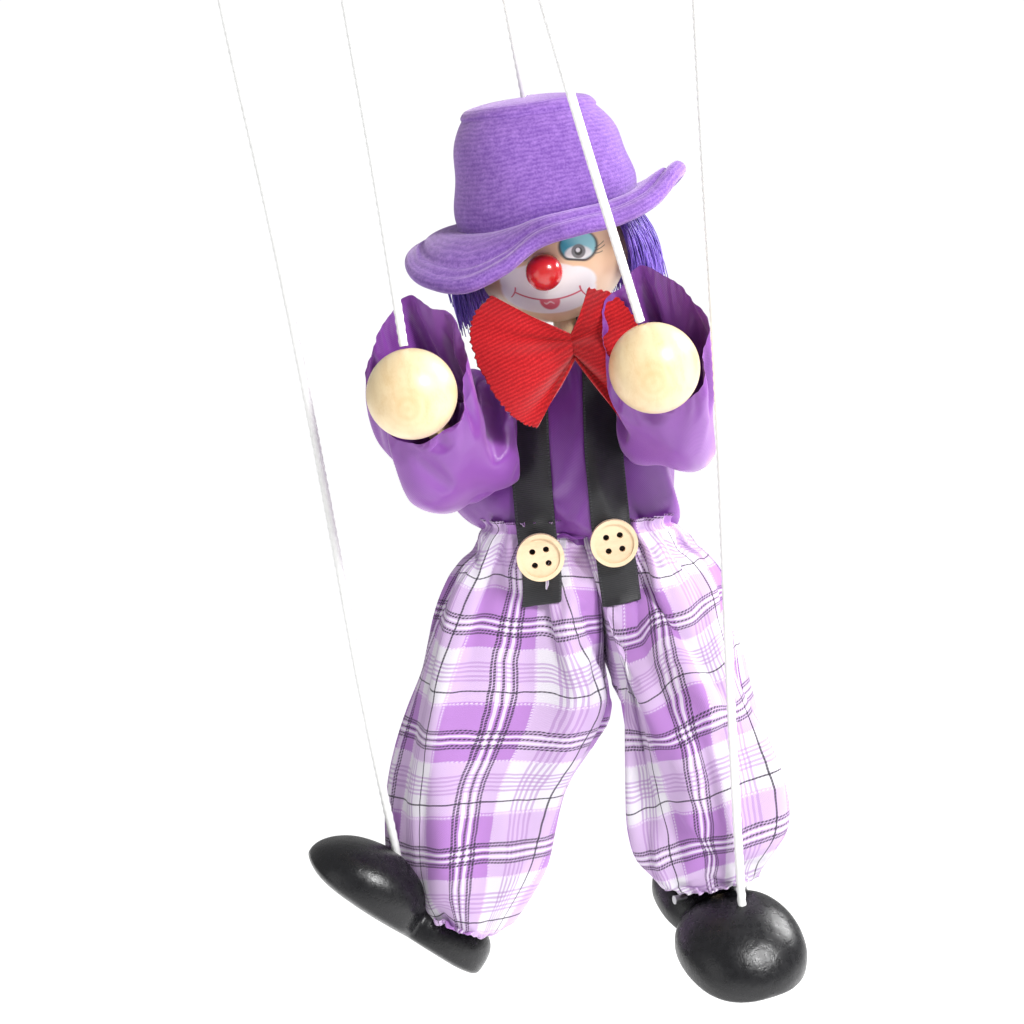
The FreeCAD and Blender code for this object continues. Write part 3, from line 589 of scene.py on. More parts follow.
# %% Steel and black paint
steel = Finish("steel_wire")
place = steel.place()
scratch = steel.noise(steel.add("ShaderNodeVectorMath", {"operation": "MULTIPLY"},
                                {0: place, 1: (0.2, 1, 1)}), 4.0, 2.0)
paint_nodes(steel.surface(Base_Color=steel.mix(scratch, (0.52, 0.52, 0.54), (0.72, 0.72, 0.73)),
                          Metallic=1.0, Roughness=scratch * 0.2 + 0.22),
            "control_brads", "neck_pin", "shoulder_pins", "hip_pins",
            *[pin + "_" + side for pin in ("elbow_pin", "knee_pin", "ankle_pin") for side in SIDES])

lacquer = Finish("black_paint")
place = lacquer.place()
orange_skin = lacquer.noise(place, 0.55, 3.0, 0.55)
grit = lacquer.noise(place, 2.6, 2.0, 0.6)
speck = grit.fade(0.66, 0.74)
black_paint = lacquer.surface(
    Base_Color=lacquer.mix(speck * 0.35 + orange_skin * 0.25, (0.004, 0.004, 0.005),
                           (0.035, 0.035, 0.04)),
    Roughness=orange_skin * 0.25 + 0.16, Specular_IOR_Level=0.4,
    Normal=lacquer.relief(orange_skin * 0.8 + grit * 0.35, 0.28, 0.55))

# %% [markdown]
# ## The painted face
# The head is a turned ball with a bead for a nose. The paint is thin and has no shape of its own.
# Each mark is a mask, worked out from where a point lies on the front of the ball: `a` runs across
# the face and `b` up it, both as parts of the ball's radius. The masks are laid over one another as
# a painter would: skin, mouth patch, smile, tongue, eye shadow, eye, lashes.

# %% The masks of the face
HEAD_CENTRE, HEAD_RADIUS = np.array([-1.0, -1.0, -150.0]), 22.0
FACE_TURN, FACE_TILT = math.radians(8.0), math.radians(-9.0)
face_front = np.array([-math.sin(FACE_TURN), -math.cos(FACE_TURN), 0])
face_side = np.array([math.cos(FACE_TURN), -math.sin(FACE_TURN), 0])
face_across = face_side * math.cos(FACE_TILT) + np.array([0, 0, math.sin(FACE_TILT)])
face_up = np.cross(face_across, face_front) * -1.0
if face_up[2] < 0:
    face_up = -face_up

face = Finish("painted_face")
here = face.place()
ball_place = face.add("ShaderNodeVectorMath", {"operation": "SUBTRACT"},
                      {0: here, 1: tuple(HEAD_CENTRE)})


def along_axis(axis):
    return face.add("ShaderNodeVectorMath", {"operation": "DOT_PRODUCT"},
                    {0: ball_place, 1: tuple(axis / HEAD_RADIUS)}, out=1)


a = along_axis(face_across) - 0.045
b = along_axis(face_up)
front = along_axis(face_front).fade(0.05, 0.15)
EDGE = 0.016


def oval(centre_a, centre_b, half_a, half_b, soft=EDGE, across=a):
    """1 inside an oval, 0 outside."""
    reach = (((across - centre_a) / half_a) ** 2.0 + ((b - centre_b) / half_b) ** 2.0).root()
    return reach.fade(1 + soft / half_b, 1 - soft / half_b)


def stroke(distance, half_width, soft=0.008):
    """1 on a painted line, from the distance to its middle."""
    return abs(distance).fade(half_width + soft, half_width - soft)


grain = face.noise(here, 0.30, 3.0)
blotch = face.noise(here, 0.08, 2.0)
skin_tone = face.mix(blotch.fade(0.3, 0.7), (0.86, 0.60, 0.38), (0.80, 0.52, 0.31))
patch = oval(0, -0.50, 0.585, 0.335).most(oval(0.36, -0.40, 0.235, 0.175)).most(
    oval(-0.36, -0.40, 0.235, 0.175)) * front
colour = face.mix(patch, skin_tone, face.mix(grain, (0.88, 0.84, 0.84), (0.93, 0.90, 0.90)))
smile_line = b + 0.645 - a * a * 0.62
wide = abs(a)
smile = stroke(smile_line, 0.010) * wide.fade(0.425, 0.405)
tick_lean = (a - a.fade(-0.01, 0.01) * 0.82 + 0.41) * (a.fade(-0.01, 0.01) * 2 - 1)
tick = stroke(tick_lean + (b + 0.54) * 0.45 - (b + 0.54) ** 2.0 * 4.0, 0.010) * \
    abs(b + 0.545).fade(0.075, 0.06)
tongue = oval(0.02, -0.655, 0.125, 0.125, 0.012) * smile_line.fade(0.008, -0.008)
# painted highlight: a pale wavy stroke on the tongue, painted into the colour as its shine
painted_highlight = stroke(b + 0.685 - (a * 60).sine() * 0.012, 0.010) * abs(a - 0.01).fade(0.075, 0.05)
rose = (0.62, 0.06, 0.11)
colour = face.mix((smile.most(tick)) * front, colour, rose)
colour = face.mix(tongue * front, colour, (0.72, 0.11, 0.15))
colour = face.mix(painted_highlight * tongue * front * 0.7, colour, (0.92, 0.72, 0.70))
eye_outline = oval(0.40, 0.015, 0.235, 0.205, across=wide) * (b + wide * 0.12).fade(-0.125, -0.110)
eye_inside = oval(0.40, 0.025, 0.205, 0.180, across=wide) * (b + wide * 0.12).fade(-0.095, -0.082)
white_part = oval(0.405, -0.09, 0.165, 0.115, across=wide) * eye_inside
iris = oval(0.405, -0.045, 0.083, 0.088, 0.010, across=wide) * eye_inside
pupil = oval(0.405, -0.045, 0.046, 0.050, 0.008, across=wide)
# painted highlight: a white dot in each iris, painted into the colour as the shine of the eye
painted_eye_highlight = oval(0.400, -0.030, 0.026, 0.028, 0.008)
painted_eye_highlight = painted_eye_highlight.most(oval(-0.410, -0.030, 0.026, 0.028, 0.008))
shadow_tint = face.mix((wide + b).fade(0.25, 0.55), (0.02, 0.30, 0.42), (0.30, 0.66, 0.70))
shadow_band = face.mix(grain, (0.02, 0.02, 0.02), (0.07, 0.07, 0.075))
colour = face.mix(eye_outline * front, colour, shadow_band)
colour = face.mix(eye_inside * front, colour, shadow_tint)
colour = face.mix(white_part * front, colour, (0.86, 0.87, 0.86))
colour = face.mix(iris * front, colour, face.mix(grain, (0.13, 0.13, 0.14), (0.26, 0.26, 0.27)))
colour = face.mix(pupil * iris * front, colour, (0.03, 0.03, 0.03))
colour = face.mix(painted_eye_highlight * iris * front, colour, (0.95, 0.95, 0.95))
for lift, reach in ((0.00, 0.115), (0.035, 0.105), (-0.035, 0.09)):
    lash_bend = b + 0.05 - lift - (wide - 0.60) ** 2.0 * 3.0 - (wide - 0.60) * (0.2 + lift * 6)
    lash = stroke(lash_bend, 0.006, 0.006) * wide.fade(0.59, 0.60) * wide.fade(0.60 + reach,
                                                                             0.59 + reach)
    colour = face.mix(lash * front * 0.85, colour, (0.05, 0.05, 0.05))
blush = oval(0.62, -0.30, 0.20, 0.16, 0.16, across=wide) * (1 - patch) * front
colour = face.mix(blush * 0.12, colour, (0.85, 0.34, 0.26))
paint_nodes(face.surface(Base_Color=colour, Roughness=grain * 0.12 + 0.30, Coat_Weight=0.4,
                         Coat_Roughness=0.2, Normal=face.relief(grain, 0.03, 0.4)), "head_ball")

nose_red = Finish("red_bead")
place = nose_red.place()
swirl = nose_red.noise(place, 0.35, 3.0)
paint_nodes(nose_red.surface(
    Base_Color=nose_red.mix(swirl, (0.62, 0.018, 0.018), (0.50, 0.010, 0.014)),
    Roughness=swirl * 0.1 + 0.20, Coat_Weight=0.6, Coat_Roughness=0.12,
    Normal=nose_red.relief(nose_red.noise(place, 0.9, 2.0), 0.05, 0.5)), "nose")

# %% [markdown]
# ## The felt hat
# The hat is cut from brushed purple fleece with a fine rib. A disc is sewn to the crown, and the
# brim is a fat doubled edge that waves up and down. It is one skin that goes from the middle of
# the crown, out over the brim, round its edge and back up inside, so it has a real thickness.
# A table says how far out and how high the brim's edge is in each direction.

# %% The skin of the hat
BRIM = {0: (39.4, -137.5), 25: (39.0, -141.5), 55: (38.0, -147.5), 90: (37.5, -149.5),
        120: (38.0, -148.0), 150: (39.5, -146.0), 180: (41.0, -147.8), 207: (42.5, -152.5),
        228: (41.5, -155.2), 246: (38.6, -152.2), 262: (36.4, -147.0), 280: (36.0, -145.6),
        300: (36.4, -145.2), 320: (38.2, -142.5), 340: (40.0, -137.0)}
HAT_TURNS = 288


def periodic(table, angles, column):
    """A smooth closed curve through a table of values at angles in degrees."""
    keys = np.array(sorted(table), float)
    values = np.array([table[int(k)][column] for k in keys], float)
    keys = np.concatenate([keys - 360, keys, keys + 360])
    values = np.tile(values, 3)
    place = np.searchsorted(keys, angles, side="right") - 1
    near, far = keys[place], keys[place + 1]
    part = (angles - near) / (far - near)
    slope = (values[place + 1] - values[place - 1]) / (far - keys[place - 1])
    slope_far = (values[(place + 2)] - values[place]) / (keys[place + 2] - near)
    span = far - near
    square, cube = part ** 2, part ** 3
    return ((2 * cube - 3 * square + 1) * values[place] + (cube - 2 * square + part) * span * slope
            + (3 * square - 2 * cube) * values[place + 1] + (cube - square) * span * slope_far)


def hat_rows():
    angles = np.arange(HAT_TURNS) * 360.0 / HAT_TURNS
    radians = np.radians(angles)
    reach, drop = periodic(BRIM, angles, 0), periodic(BRIM, angles, 1)
    rng = np.random.default_rng(11)
    lumps = sum(rng.uniform(-1, 1) * np.cos(k * radians + rng.uniform(0, 6.3)) / k
                for k in range(1, 7))
    lean = np.cos(radians - math.radians(10))
    rows = []

    def ring(r, z, wobble=0.0, lift=0.0):
        rows.append(np.stack([np.cos(radians) * (r + wobble * lumps),
                              np.sin(radians) * (r + wobble * lumps),
                              z + lift * lumps + 0 * radians], 1))

    one = np.ones(HAT_TURNS)
    for r in (0.0, 1.5, 4.0, 7.0, 10.0, 13.0, 15.5, 17.3):
        ring(r * one, -109.6 - (r / 18.0) ** 3 * 2.0 * one - 1.1 * lean * r / 18,
             0.25 * r / 18, 0.3)
    seam_z = -113.4 - 1.3 * lean
    ring(18.6 * one, seam_z + 0.5, 0.5, 0.3)
    ring(18.9 * one, seam_z - 0.35, 0.5, 0.3)
    ring(18.4 * one, seam_z - 0.8, 0.5, 0.3)
    ring(19.0 * one, seam_z - 1.25, 0.5, 0.3)
    crown_foot = -141.3 + (drop + 147) * 0.16
    for part in np.linspace(0.06, 1, 15):
        bulge = 1.9 * math.sin(math.pi * part) + 0.6 * math.sin(part * 9.0)
        ring(19.6 + 5.4 * part + bulge * one, seam_z - 2 + (crown_foot - seam_z + 2) * part,
             0.75 + 0.9 * math.sin(math.pi * part))
    ring(24.9 * one, crown_foot - 0.7, 0.5)
    edge_round = 2.35
    for part in np.linspace(0.05, 1, 20):
        far = reach - edge_round
        r = 25.2 + (far - 25.2) * part
        sag = 1.6 * math.sin(math.pi * part) * (1 - 0.3 * part)
        seam = 1.15 * math.exp(-((part - 0.80) / 0.055) ** 2)
        ring(r, crown_foot - 0.6 + (drop + edge_round - crown_foot + 0.6) * part ** 1.25 + sag
             - seam, 0.3)
    for turn in np.linspace(0.15, math.pi, 9):
        ring(reach - edge_round + edge_round * math.sin(turn) * 1.05,
             drop + edge_round * math.cos(turn), 0.3)
    ring(reach - edge_round - 1.2, drop - edge_round + 0.9, 0.3)
    ring(reach - edge_round - 2.0, drop - edge_round + 0.4, 0.3)
    for part in np.linspace(0.2, 1, 7):
        r = reach - 3.6 + (23.7 - reach + 3.6) * part
        ring(r, drop - 1.0 + (crown_foot - 2.2 - drop + 1.0) * part, 0.2)
    for r, z in ((23.5, -140.0), (23.3, -135.0), (22.2, -128.0), (20.5, -121.0), (18.0, -115.5),
                 (14.0, -113.2), (8.0, -112.4), (3.0, -112.2), (0.0, -112.2)):
        ring(r * one, z * one, 0.2)
    return np.array(rows)


rows = hat_rows()
profile = np.concatenate([[0], np.cumsum(np.linalg.norm(np.diff(rows[:, 216], axis=0), axis=1))])
hat = skin("felt_hat", rows, chart=lambda row, step: (step * 0.6, profile[row]))


def weld(piece, distance_mm=0.004):
    """Merge the points that lie on each other, then turn every face outwards."""
    shell = bmesh.new()
    shell.from_mesh(piece.data)
    bmesh.ops.remove_doubles(shell, verts=shell.verts, dist=distance_mm * MM)
    bmesh.ops.dissolve_degenerate(shell, edges=shell.edges, dist=1e-7)
    bmesh.ops.recalc_face_normals(shell, faces=shell.faces)
    shell.to_mesh(piece.data)
    shell.free()
    return piece


weld(hat)
add_modifier(hat, "SUBSURF", levels=1, render_levels=1)
modified(hat)
print("hat", len(hat.data.polygons), "faces")

# %% Fleece for the hat
def fleece(name, deep, pale, rib_mm, rib_depth=0.10):
    """Brushed ribbed cloth: the rib follows v of the piece's own map."""
    finish = Finish(name)
    place = finish.place()
    across, along = finish.chart()
    wander = finish.noise(place, 0.25, 2.0)
    fuzz = finish.noise(place, 1.9, 4.0, 0.7)
    tuft = finish.noise(place, 0.5, 3.0, 0.6)
    rib = ((along + wander * 1.6) * (math.tau / rib_mm)).sine() * 0.5 + 0.5
    tone = (fuzz * 1.1 + tuft * 0.6 + rib * 0.17 - 0.55).fade(0.0, 0.9)
    height = rib * rib_depth + fuzz * 0.30 + tuft * 0.2
    return finish.surface(Base_Color=finish.mix(tone, deep, pale), Roughness=fuzz * 0.1 + 0.85,
                          Sheen_Weight=0.55, Sheen_Roughness=0.45, Sheen_Tint=(0.93, 0.78, 1, 1),
                          Specular_IOR_Level=0.15, Normal=finish.relief(height, 0.55, 0.75))


hat_fleece = fleece("purple_fleece", (0.15, 0.060, 0.33), (0.37, 0.20, 0.60), 1.25)
paint(hat, hat_fleece)
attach(hat, "head")
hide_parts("hat")

# %% [markdown]
# ## Black wooden shoes
# Each shoe is carved from one block: a fat round toe, a narrow waist and a smaller round heel. The
# sole is flat in the middle and rolls up at the edges. One skin runs from the heel to the toe
# through cross-sections that are domed above and nearly flat below.

# %% Carve the two shoes
def through(table, count):
    """Rows of a table, spread evenly over count rows along a smooth curve through them."""
    table = np.asarray(table, float)
    place = np.linspace(0, len(table) - 1, count)
    near = np.clip(place.astype(int), 0, len(table) - 2)
    part = (place - near)[:, None]
    at = lambda k: table[np.clip(k, 0, len(table) - 1)]
    before, first, second, after = at(near - 1), at(near), at(near + 1), at(near + 2)
    return 0.5 * (2 * first + (second - before) * part
                  + (2 * before - 5 * first + 4 * second - after) * part ** 2
                  + (3 * first - before - 3 * second + after) * part ** 3)


SHOE_TURNS, SOLE_DROP = 56, 9.0
TOE_WAYS = {"right": (-0.706, -0.09, 0.704), "left": (0.28, -0.82, -0.49)}
SHOE = [  # place along the shoe from the ankle, half width, height of the top, rise of the sole
    (-19.6, 0.2, 5.4, 5.2), (-19.2, 3.8, 8.4, 2.2), (-17.8, 7.4, 10.8, 0.9),
    (-15.0, 10.2, 12.6, 0.3), (-11.0, 11.8, 13.6, 0.0), (-6.0, 12.4, 13.8, 0.0),
    (-1.5, 12.2, 13.2, 0.0), (1.8, 11.4, 12.2, 0.0), (4.0, 10.6, 11.8, 0.0),
    (5.6, 11.8, 13.4, 0.0), (8.4, 14.4, 15.8, 0.0),
    (13.0, 16.2, 17.2, 0.0), (18.5, 16.9, 17.8, 0.0), (24.0, 16.5, 17.2, 0.2),
    (29.5, 14.9, 15.6, 0.6),
    (34.0, 11.8, 13.0, 1.5), (37.0, 7.6, 10.2, 2.9), (38.5, 3.6, 7.8, 4.4), (38.9, 0.2, 6.2, 6.0)]


def shoe_rows(side):
    forward = unit(TOE_WAYS[side])
    lift = unit(np.array([0, 0, 1.0]) - forward * forward[2])
    across = np.cross(lift, forward)
    ankle = joint_at("ankle_" + side)
    turn = np.arange(SHOE_TURNS) * math.tau / SHOE_TURNS
    cos, sin = np.cos(turn), np.sin(turn)
    rows = []
    for along, half, top, rise in through(SHOE, 74):
        split = rise + (top - rise) * 0.36
        high = np.where(sin > 0, split + (top - split) * np.abs(sin),
                        split - (split - rise) * np.abs(sin) ** 0.42)
        side_way = np.sign(cos) * np.abs(cos) ** 0.86 * half
        rows.append(ankle + forward * along + across * side_way[:, None]
                    + lift * (high - SOLE_DROP)[:, None])
    return np.array(rows)


for side in SIDES:
    shoe = weld(skin("carved_shoe_" + side, shoe_rows(side)))
    add_modifier(shoe, "SUBSURF", levels=1, render_levels=1)
    modified(shoe)
    paint(shoe, black_paint)
    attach(shoe, "shoe_" + side)
    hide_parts("shoe_" + side)
    print(shoe.name, len(shoe.data.polygons), "faces")

# %% [markdown]
# ## Hair
# A fringe of straight violet fibre hangs from under the hat, round the sides and the back of the
# head. Geometry Nodes set one curved fibre at hundreds of places round the head, each turned,
# stretched and pushed a little by seeded random values, so no two locks are the same.

# %% Grow the hair
def hair_rule(material):
    group = bpy.data.node_groups.new("hair fringe", "GeometryNodeTree")
    face_of = group.interface
    face_of.new_socket("Geometry", in_out="INPUT", socket_type="NodeSocketGeometry")
    for name, value in (("Count", 900), ("Seed", 7)):
        face_of.new_socket(name, in_out="INPUT", socket_type="NodeSocketInt").default_value = value
    for name, value in (("Radius", 0.0226), ("Length", 0.024), ("Thickness", 0.00016)):
        socket = face_of.new_socket(name, in_out="INPUT", socket_type="NodeSocketFloat")
        socket.default_value = value
    face_of.new_socket("Hair", in_out="OUTPUT", socket_type="NodeSocketGeometry")
    tree = Tree(group)
    entry = tree.add("NodeGroupInput").socket.node
    _, count, seed, radius, length, thick = (Term(tree, s) for s in entry.outputs[:6])

    def chance(low, high, offset):
        return tree.add("FunctionNodeRandomValue", {"data_type": "FLOAT"},
                        {"Min": low, "Max": high, "ID": tree.add("GeometryNodeInputIndex"),
                         "Seed": seed + offset}, out=1)

    fibre = tree.add("GeometryNodeCurveQuadraticBezier", None,
                     {"Resolution": 7, "Start": tree.vector(0.0, 0.0, 0.0),
                      "Middle": tree.vector(length * 0.22, 0.0, length * -0.45),
                      "End": tree.vector(length * 0.10, 0.0, -length)})
    taper = tree.add("GeometryNodeSplineParameter").fade(1.15, 0.35)
    fibre = tree.add("GeometryNodeSetCurveRadius", None, {"Curve": fibre, "Radius": taper})
    section = tree.add("GeometryNodeCurvePrimitiveCircle", None,
                       {"Resolution": 3, "Radius": thick})
    sockets = {"Curve": fibre, "Profile Curve": section}
    fibre = tree.add("GeometryNodeCurveToMesh", None, sockets)
    spots = tree.add("GeometryNodePoints", None,
                     {"Count": count, "Position": tree.vector(0.0, 0.0, 0.0)})
    bearing = chance(-0.62, math.pi + 0.62, 0)
    out = radius + chance(-0.0006, 0.0022, 1)
    place = tree.vector(tree.sum("COSINE", bearing) * out + HEAD_CENTRE[0] * MM,
                        tree.sum("SINE", bearing) * out + HEAD_CENTRE[1] * MM,
                        chance(-0.1462, -0.1425, 2))
    spots = tree.add("GeometryNodeSetPosition", None, {"Geometry": spots, "Position": place})
    turn = tree.add("FunctionNodeEulerToRotation", None,
                    {0: tree.vector(chance(-0.10, 0.10, 3), chance(-0.16, 0.12, 4),
                                    bearing + chance(-0.35, 0.35, 5))})
    spread = tree.add("GeometryNodeInstanceOnPoints", None,
                      {"Points": spots, "Instance": fibre, "Rotation": turn,
                       "Scale": tree.vector(1.0, 1.0, chance(0.72, 1.05, 6))})
    hair = tree.add("GeometryNodeRealizeInstances", None, {"Geometry": spread})
    hair = tree.add("GeometryNodeSetShadeSmooth", None, {"Geometry": hair})
    hair = tree.add("GeometryNodeSetMaterial", None, {"Geometry": hair, "Material": material})
    tree.add("NodeGroupOutput", None, {"Hair": hair})
    return group


fibre = Finish("violet_fibre")
place = fibre.place()
lock = fibre.noise(fibre.add("ShaderNodeVectorMath", {"operation": "MULTIPLY"},
                             {0: place, 1: (1, 1, 0.12)}), 0.9, 3.0)
violet = fibre.surface(Base_Color=fibre.mix(lock.fade(0.3, 0.7), (0.075, 0.03, 0.33),
                                            (0.24, 0.12, 0.62)),
                       Roughness=lock * 0.2 + 0.35, Specular_IOR_Level=0.5, Sheen_Weight=0.2)


def grown(name, rule, material, **inputs):
    """A plain mesh from a tree that needs no shape to start from."""
    piece = mesh_object(name, [(0, 0, 0)], [])
    modifier = piece.modifiers.new("grow", "NODES")
    modifier.node_group = rule
    for item in rule.interface.items_tree:
        if item.item_type == "SOCKET" and item.in_out == "INPUT" and item.name in inputs:
            modifier[item.identifier] = inputs[item.name]
    modified(piece)
    print(name, len(piece.data.polygons), "faces")
    return piece


hair = grown("hair_fringe", hair_rule(violet), violet, Count=1500)
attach(hair, "head")
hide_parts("hair")

# %% [markdown]
# ## How the clothes are cut and settled
# Every garment is a tube. A short table gives its rings: where each one lies, how wide and how
# deep it is. A spline through the table gives a dense tube of the right outline. Then the cloth is
# given more fabric than the outline has, pinned at its bands and seams, and simulated. The spare
# fabric has to go somewhere, so it buckles into folds, as a gathered sleeve or trouser leg does.
# The simulation runs at ten times the size, where Blender's cloth settings are at home.

# %% Tubes, folds and cuts
SIM_SCALE = 10.0


def tube_rows(rings, count, around, square=None):
    """Rows of a tube: each ring is centre, half across, half deep as three vectors."""
    smooth = through([np.concatenate(ring) for ring in rings], count)
    angles = np.arange(around) * math.tau / around
    cos, sin = np.cos(angles), np.sin(angles)
    rows = []
    for k, line in enumerate(smooth):
        centre, across, deep = line[:3], line[3:6], line[6:9]
        flat = square(k / (count - 1)) if square else 0.0
        bent = np.sign(sin) * np.abs(sin) ** (1 - flat * (cos < 0))
        rows.append(centre + cos[:, None] * across + bent[:, None] * deep)
    return np.array(rows)


def crumple(rows, seed, depth, reach=(3, 9), ends=6, climb=6.0):
    """Push the skin in and out by a few long random waves, so that its folds start somewhere."""
    rng = np.random.default_rng(seed)
    count, around = rows.shape[:2]
    angle = np.arange(around) * math.tau / around
    part = np.arange(count) / (count - 1)
    push = np.zeros((count, around))
    for _ in range(14):
        turns, climbs = rng.integers(*reach), rng.uniform(-climb, climb)
        push += rng.uniform(0.4, 1) * np.sin(turns * angle[None] + climbs * math.tau * part[:, None]
                                             + rng.uniform(0, 6.3))
    push *= np.clip(np.minimum(np.arange(count), np.arange(count)[::-1]) / ends, 0, 1)[:, None]
    outward = rows - rows.mean(1, keepdims=True)
    outward /= np.linalg.norm(outward, axis=2, keepdims=True)
    return rows + outward * (push * depth / 2.6)[..., None]


def ring_lengths(rows, row):
    ring = rows[row]
    return np.linalg.norm(np.roll(ring, -1, 0) - ring, axis=1).sum()


def cloth_chart(rows):
    """u and v in millimetres: round the tube at its mean girth, and along its middle."""
    around = rows.shape[1]
    girth = np.mean([ring_lengths(rows, k) for k in range(len(rows))])
    steps = np.linalg.norm(np.diff(rows, axis=0), axis=2).mean(1)
    along = np.concatenate([[0], np.cumsum(steps)])
    return lambda row, step: (step * girth / around, along[row])


def settle(piece, hold, frames=26, spare=0.18, pressure=1.0, fall=0.25, cap=6.0, stiff=4.0):
    """Cloth with spare fabric, held by the weights in hold, and let go for some frames."""
    points = np.array([v.co for v in piece.data.vertices])
    big = piece.copy()
    big.data = piece.data.copy()
    bpy.context.scene.collection.objects.link(big)
    big.data.vertices.foreach_set("co", (points * SIM_SCALE).ravel())
    group = big.vertex_groups.new(name="held")
    for index, weight in enumerate(hold):
        if weight > 0:
            group.add([index], float(weight), "REPLACE")
    cloth = big.modifiers.new("Cloth", "CLOTH")
    rules = cloth.settings
    rules.quality, rules.mass = 6, 0.25
    rules.tension_stiffness = rules.compression_stiffness = 12.0
    rules.shear_stiffness, rules.bending_stiffness = 6.0, stiff
    rules.vertex_group_mass = "held"
    rules.shrink_min = rules.shrink_max = -spare
    rules.use_pressure, rules.uniform_pressure_force = True, pressure
    rules.effector_weights.gravity = fall
    cloth.collision_settings.use_collision = False
    cloth.point_cache.frame_start, cloth.point_cache.frame_end = 1, frames
    scene = bpy.context.scene
    for step in range(1, frames + 1):
        scene.frame_set(step)
    graph = bpy.context.evaluated_depsgraph_get()
    moved = np.array([v.co for v in big.evaluated_get(graph).data.vertices]) / SIM_SCALE
    shift = moved - points
    far = np.linalg.norm(shift, axis=1, keepdims=True)
    shift *= np.minimum(1, cap * MM / np.maximum(far, 1e-9))
    piece.data.vertices.foreach_set("co", (points + shift).ravel())
    piece.data.update()
    bpy.data.objects.remove(big)
    scene.frame_set(1)
    print(piece.name, "settled, mean shift", round(float(far.mean()) / MM, 2), "mm")


def clear_of_wood(piece, rows, bones, room):
    """Push the cloth out wherever it came nearer than room to the wooden limb inside it."""
    start = rows.reshape(-1, 3)
    now = np.array([v.co for v in piece.data.vertices]) / MM
    for first, last in zip(bones, bones[1:]):
        span = last - first
        part = np.clip((start - first) @ span / (span @ span), 0, 1)
        foot = first + part[:, None] * span
        out = start - foot
        out /= np.linalg.norm(out, axis=1, keepdims=True)
        part = np.clip((now - first) @ span / (span @ span), 0, 1)
        depth = ((now - first - part[:, None] * span) * out).sum(1)
        now += out * np.maximum(0, room - depth)[:, None] * (part > 0.12)[:, None]
    piece.data.vertices.foreach_set("co", (now * MM).ravel())


def finer(piece, levels=1):
    add_modifier(piece, "SUBSURF", levels=levels, render_levels=levels)
    modified(piece)


def split_rows(piece, cuts, names):
    """Cut a finished tube into lengths between rings; the shading stays as it was on the whole."""
    mesh = piece.data
    normals = np.array([corner.vector for corner in mesh.corner_normals])
    faces = [tuple(face.vertices) for face in mesh.polygons]
    chart = np.array([corner.uv for corner in mesh.uv_layers["cloth"].data])
    rows = np.array([value.value for value in mesh.attributes["row"].data])
    points = np.array([v.co for v in mesh.vertices])
    edges = [-1.0] + list(cuts) + [1e9]
    starts = np.cumsum([0] + [len(face) for face in faces])
    made = []
    for part, name in enumerate(names):
        kept = [k for k, face in enumerate(faces)
                if edges[part] <= np.mean(rows[list(face)]) < edges[part + 1]]
        used = sorted({v for k in kept for v in faces[k]})
        new_index = {v: n for n, v in enumerate(used)}
        length = mesh_object(name, points[used] / MM,
                             [tuple(new_index[v] for v in faces[k]) for k in kept])
        corners = np.concatenate([np.arange(starts[k], starts[k + 1]) for k in kept])
        layer = length.data.uv_layers.new(name="cloth")
        layer.data.foreach_set("uv", chart[corners].astype(np.float32).ravel())
        length.data.normals_split_custom_set([tuple(n) for n in normals[corners]])
        made.append(length)
        print(name, len(kept), "faces")
    bpy.data.objects.remove(piece)
    return made


def mark_rows(piece, around):
    """Note on every point which ring of the tube it belongs to."""
    count = len(piece.data.vertices)
    layer = piece.data.attributes.new("row", "FLOAT", "POINT")
    layer.data.foreach_set("value", np.arange(count) // around + 0.0)


def cut_size(rows, first=0, last=None):
    """Width and length, in metres, of the cloth in the flat: the map of the tube as drawn."""
    girth = np.mean([ring_lengths(rows, k) for k in range(len(rows))])
    steps = np.linalg.norm(np.diff(rows, axis=0), axis=2).mean(1)
    length = steps[int(first):None if last is None else int(last)].sum()
    return (float(girth * MM), float(length * MM))


def cloth_sheet(piece, cut):
    """Print the size a gathered cloth piece was cut to before it was gathered, and how much of that
    flat area it now covers.
    """
    area = sum(face.area for face in piece.data.polygons)
    print(piece.name, "cut", [round(side / MM, 1) for side in cut], "mm, now",
          round(area / (cut[0] * cut[1]), 2), "of its flat area")


# %% [markdown]
# ## Satin and checked cotton
# The shirt is purple satin. Its weave floats the threads, so a fold shines along its ridge and goes
# dark beside it; on top of the real gloss, a painted sheen makes the colour paler where the cloth is
# seen edge-on. The trousers are a lilac and white check with a cluster of thin dark lines in each
# lilac band. Both patterns follow the map of the cut cloth, so the lines bend with the folds.

# %% The two cloths
def satin(name, deep, pale, weave=0.42):
    finish = Finish(name)
    across, along = finish.chart()
    place = finish.place()
    soft = finish.noise(place, 0.12, 2.0)
    twill = ((across + along) * (math.tau / weave)).sine() * 0.5 + 0.5
    slub = finish.noise(finish.vector(across * 0.3, along * 4.0, 0.0), 1.0, 2.0)
    # painted sheen: the satin's colour turns paler where it is seen edge-on, whatever the lamps do
    painted_highlight = finish.add("ShaderNodeLayerWeight", None, {"Blend": 0.35}, out=1)
    tone = (soft * 0.12 + twill * 0.14 + painted_highlight * 0.45).least(1.0)
    return finish.surface(
        Base_Color=finish.mix(tone, deep, pale), Roughness=slub * 0.12 + 0.26,
        Specular_IOR_Level=0.7, Sheen_Weight=0.35, Sheen_Roughness=0.3,
        Sheen_Tint=(0.95, 0.7, 1.0, 1.0), Anisotropic=0.4,
        Normal=finish.relief(twill * 0.7 + slub * 0.5, 0.035, 0.8))


shirt_satin = satin("purple_satin", (0.125, 0.012, 0.22), (0.50, 0.19, 0.66))

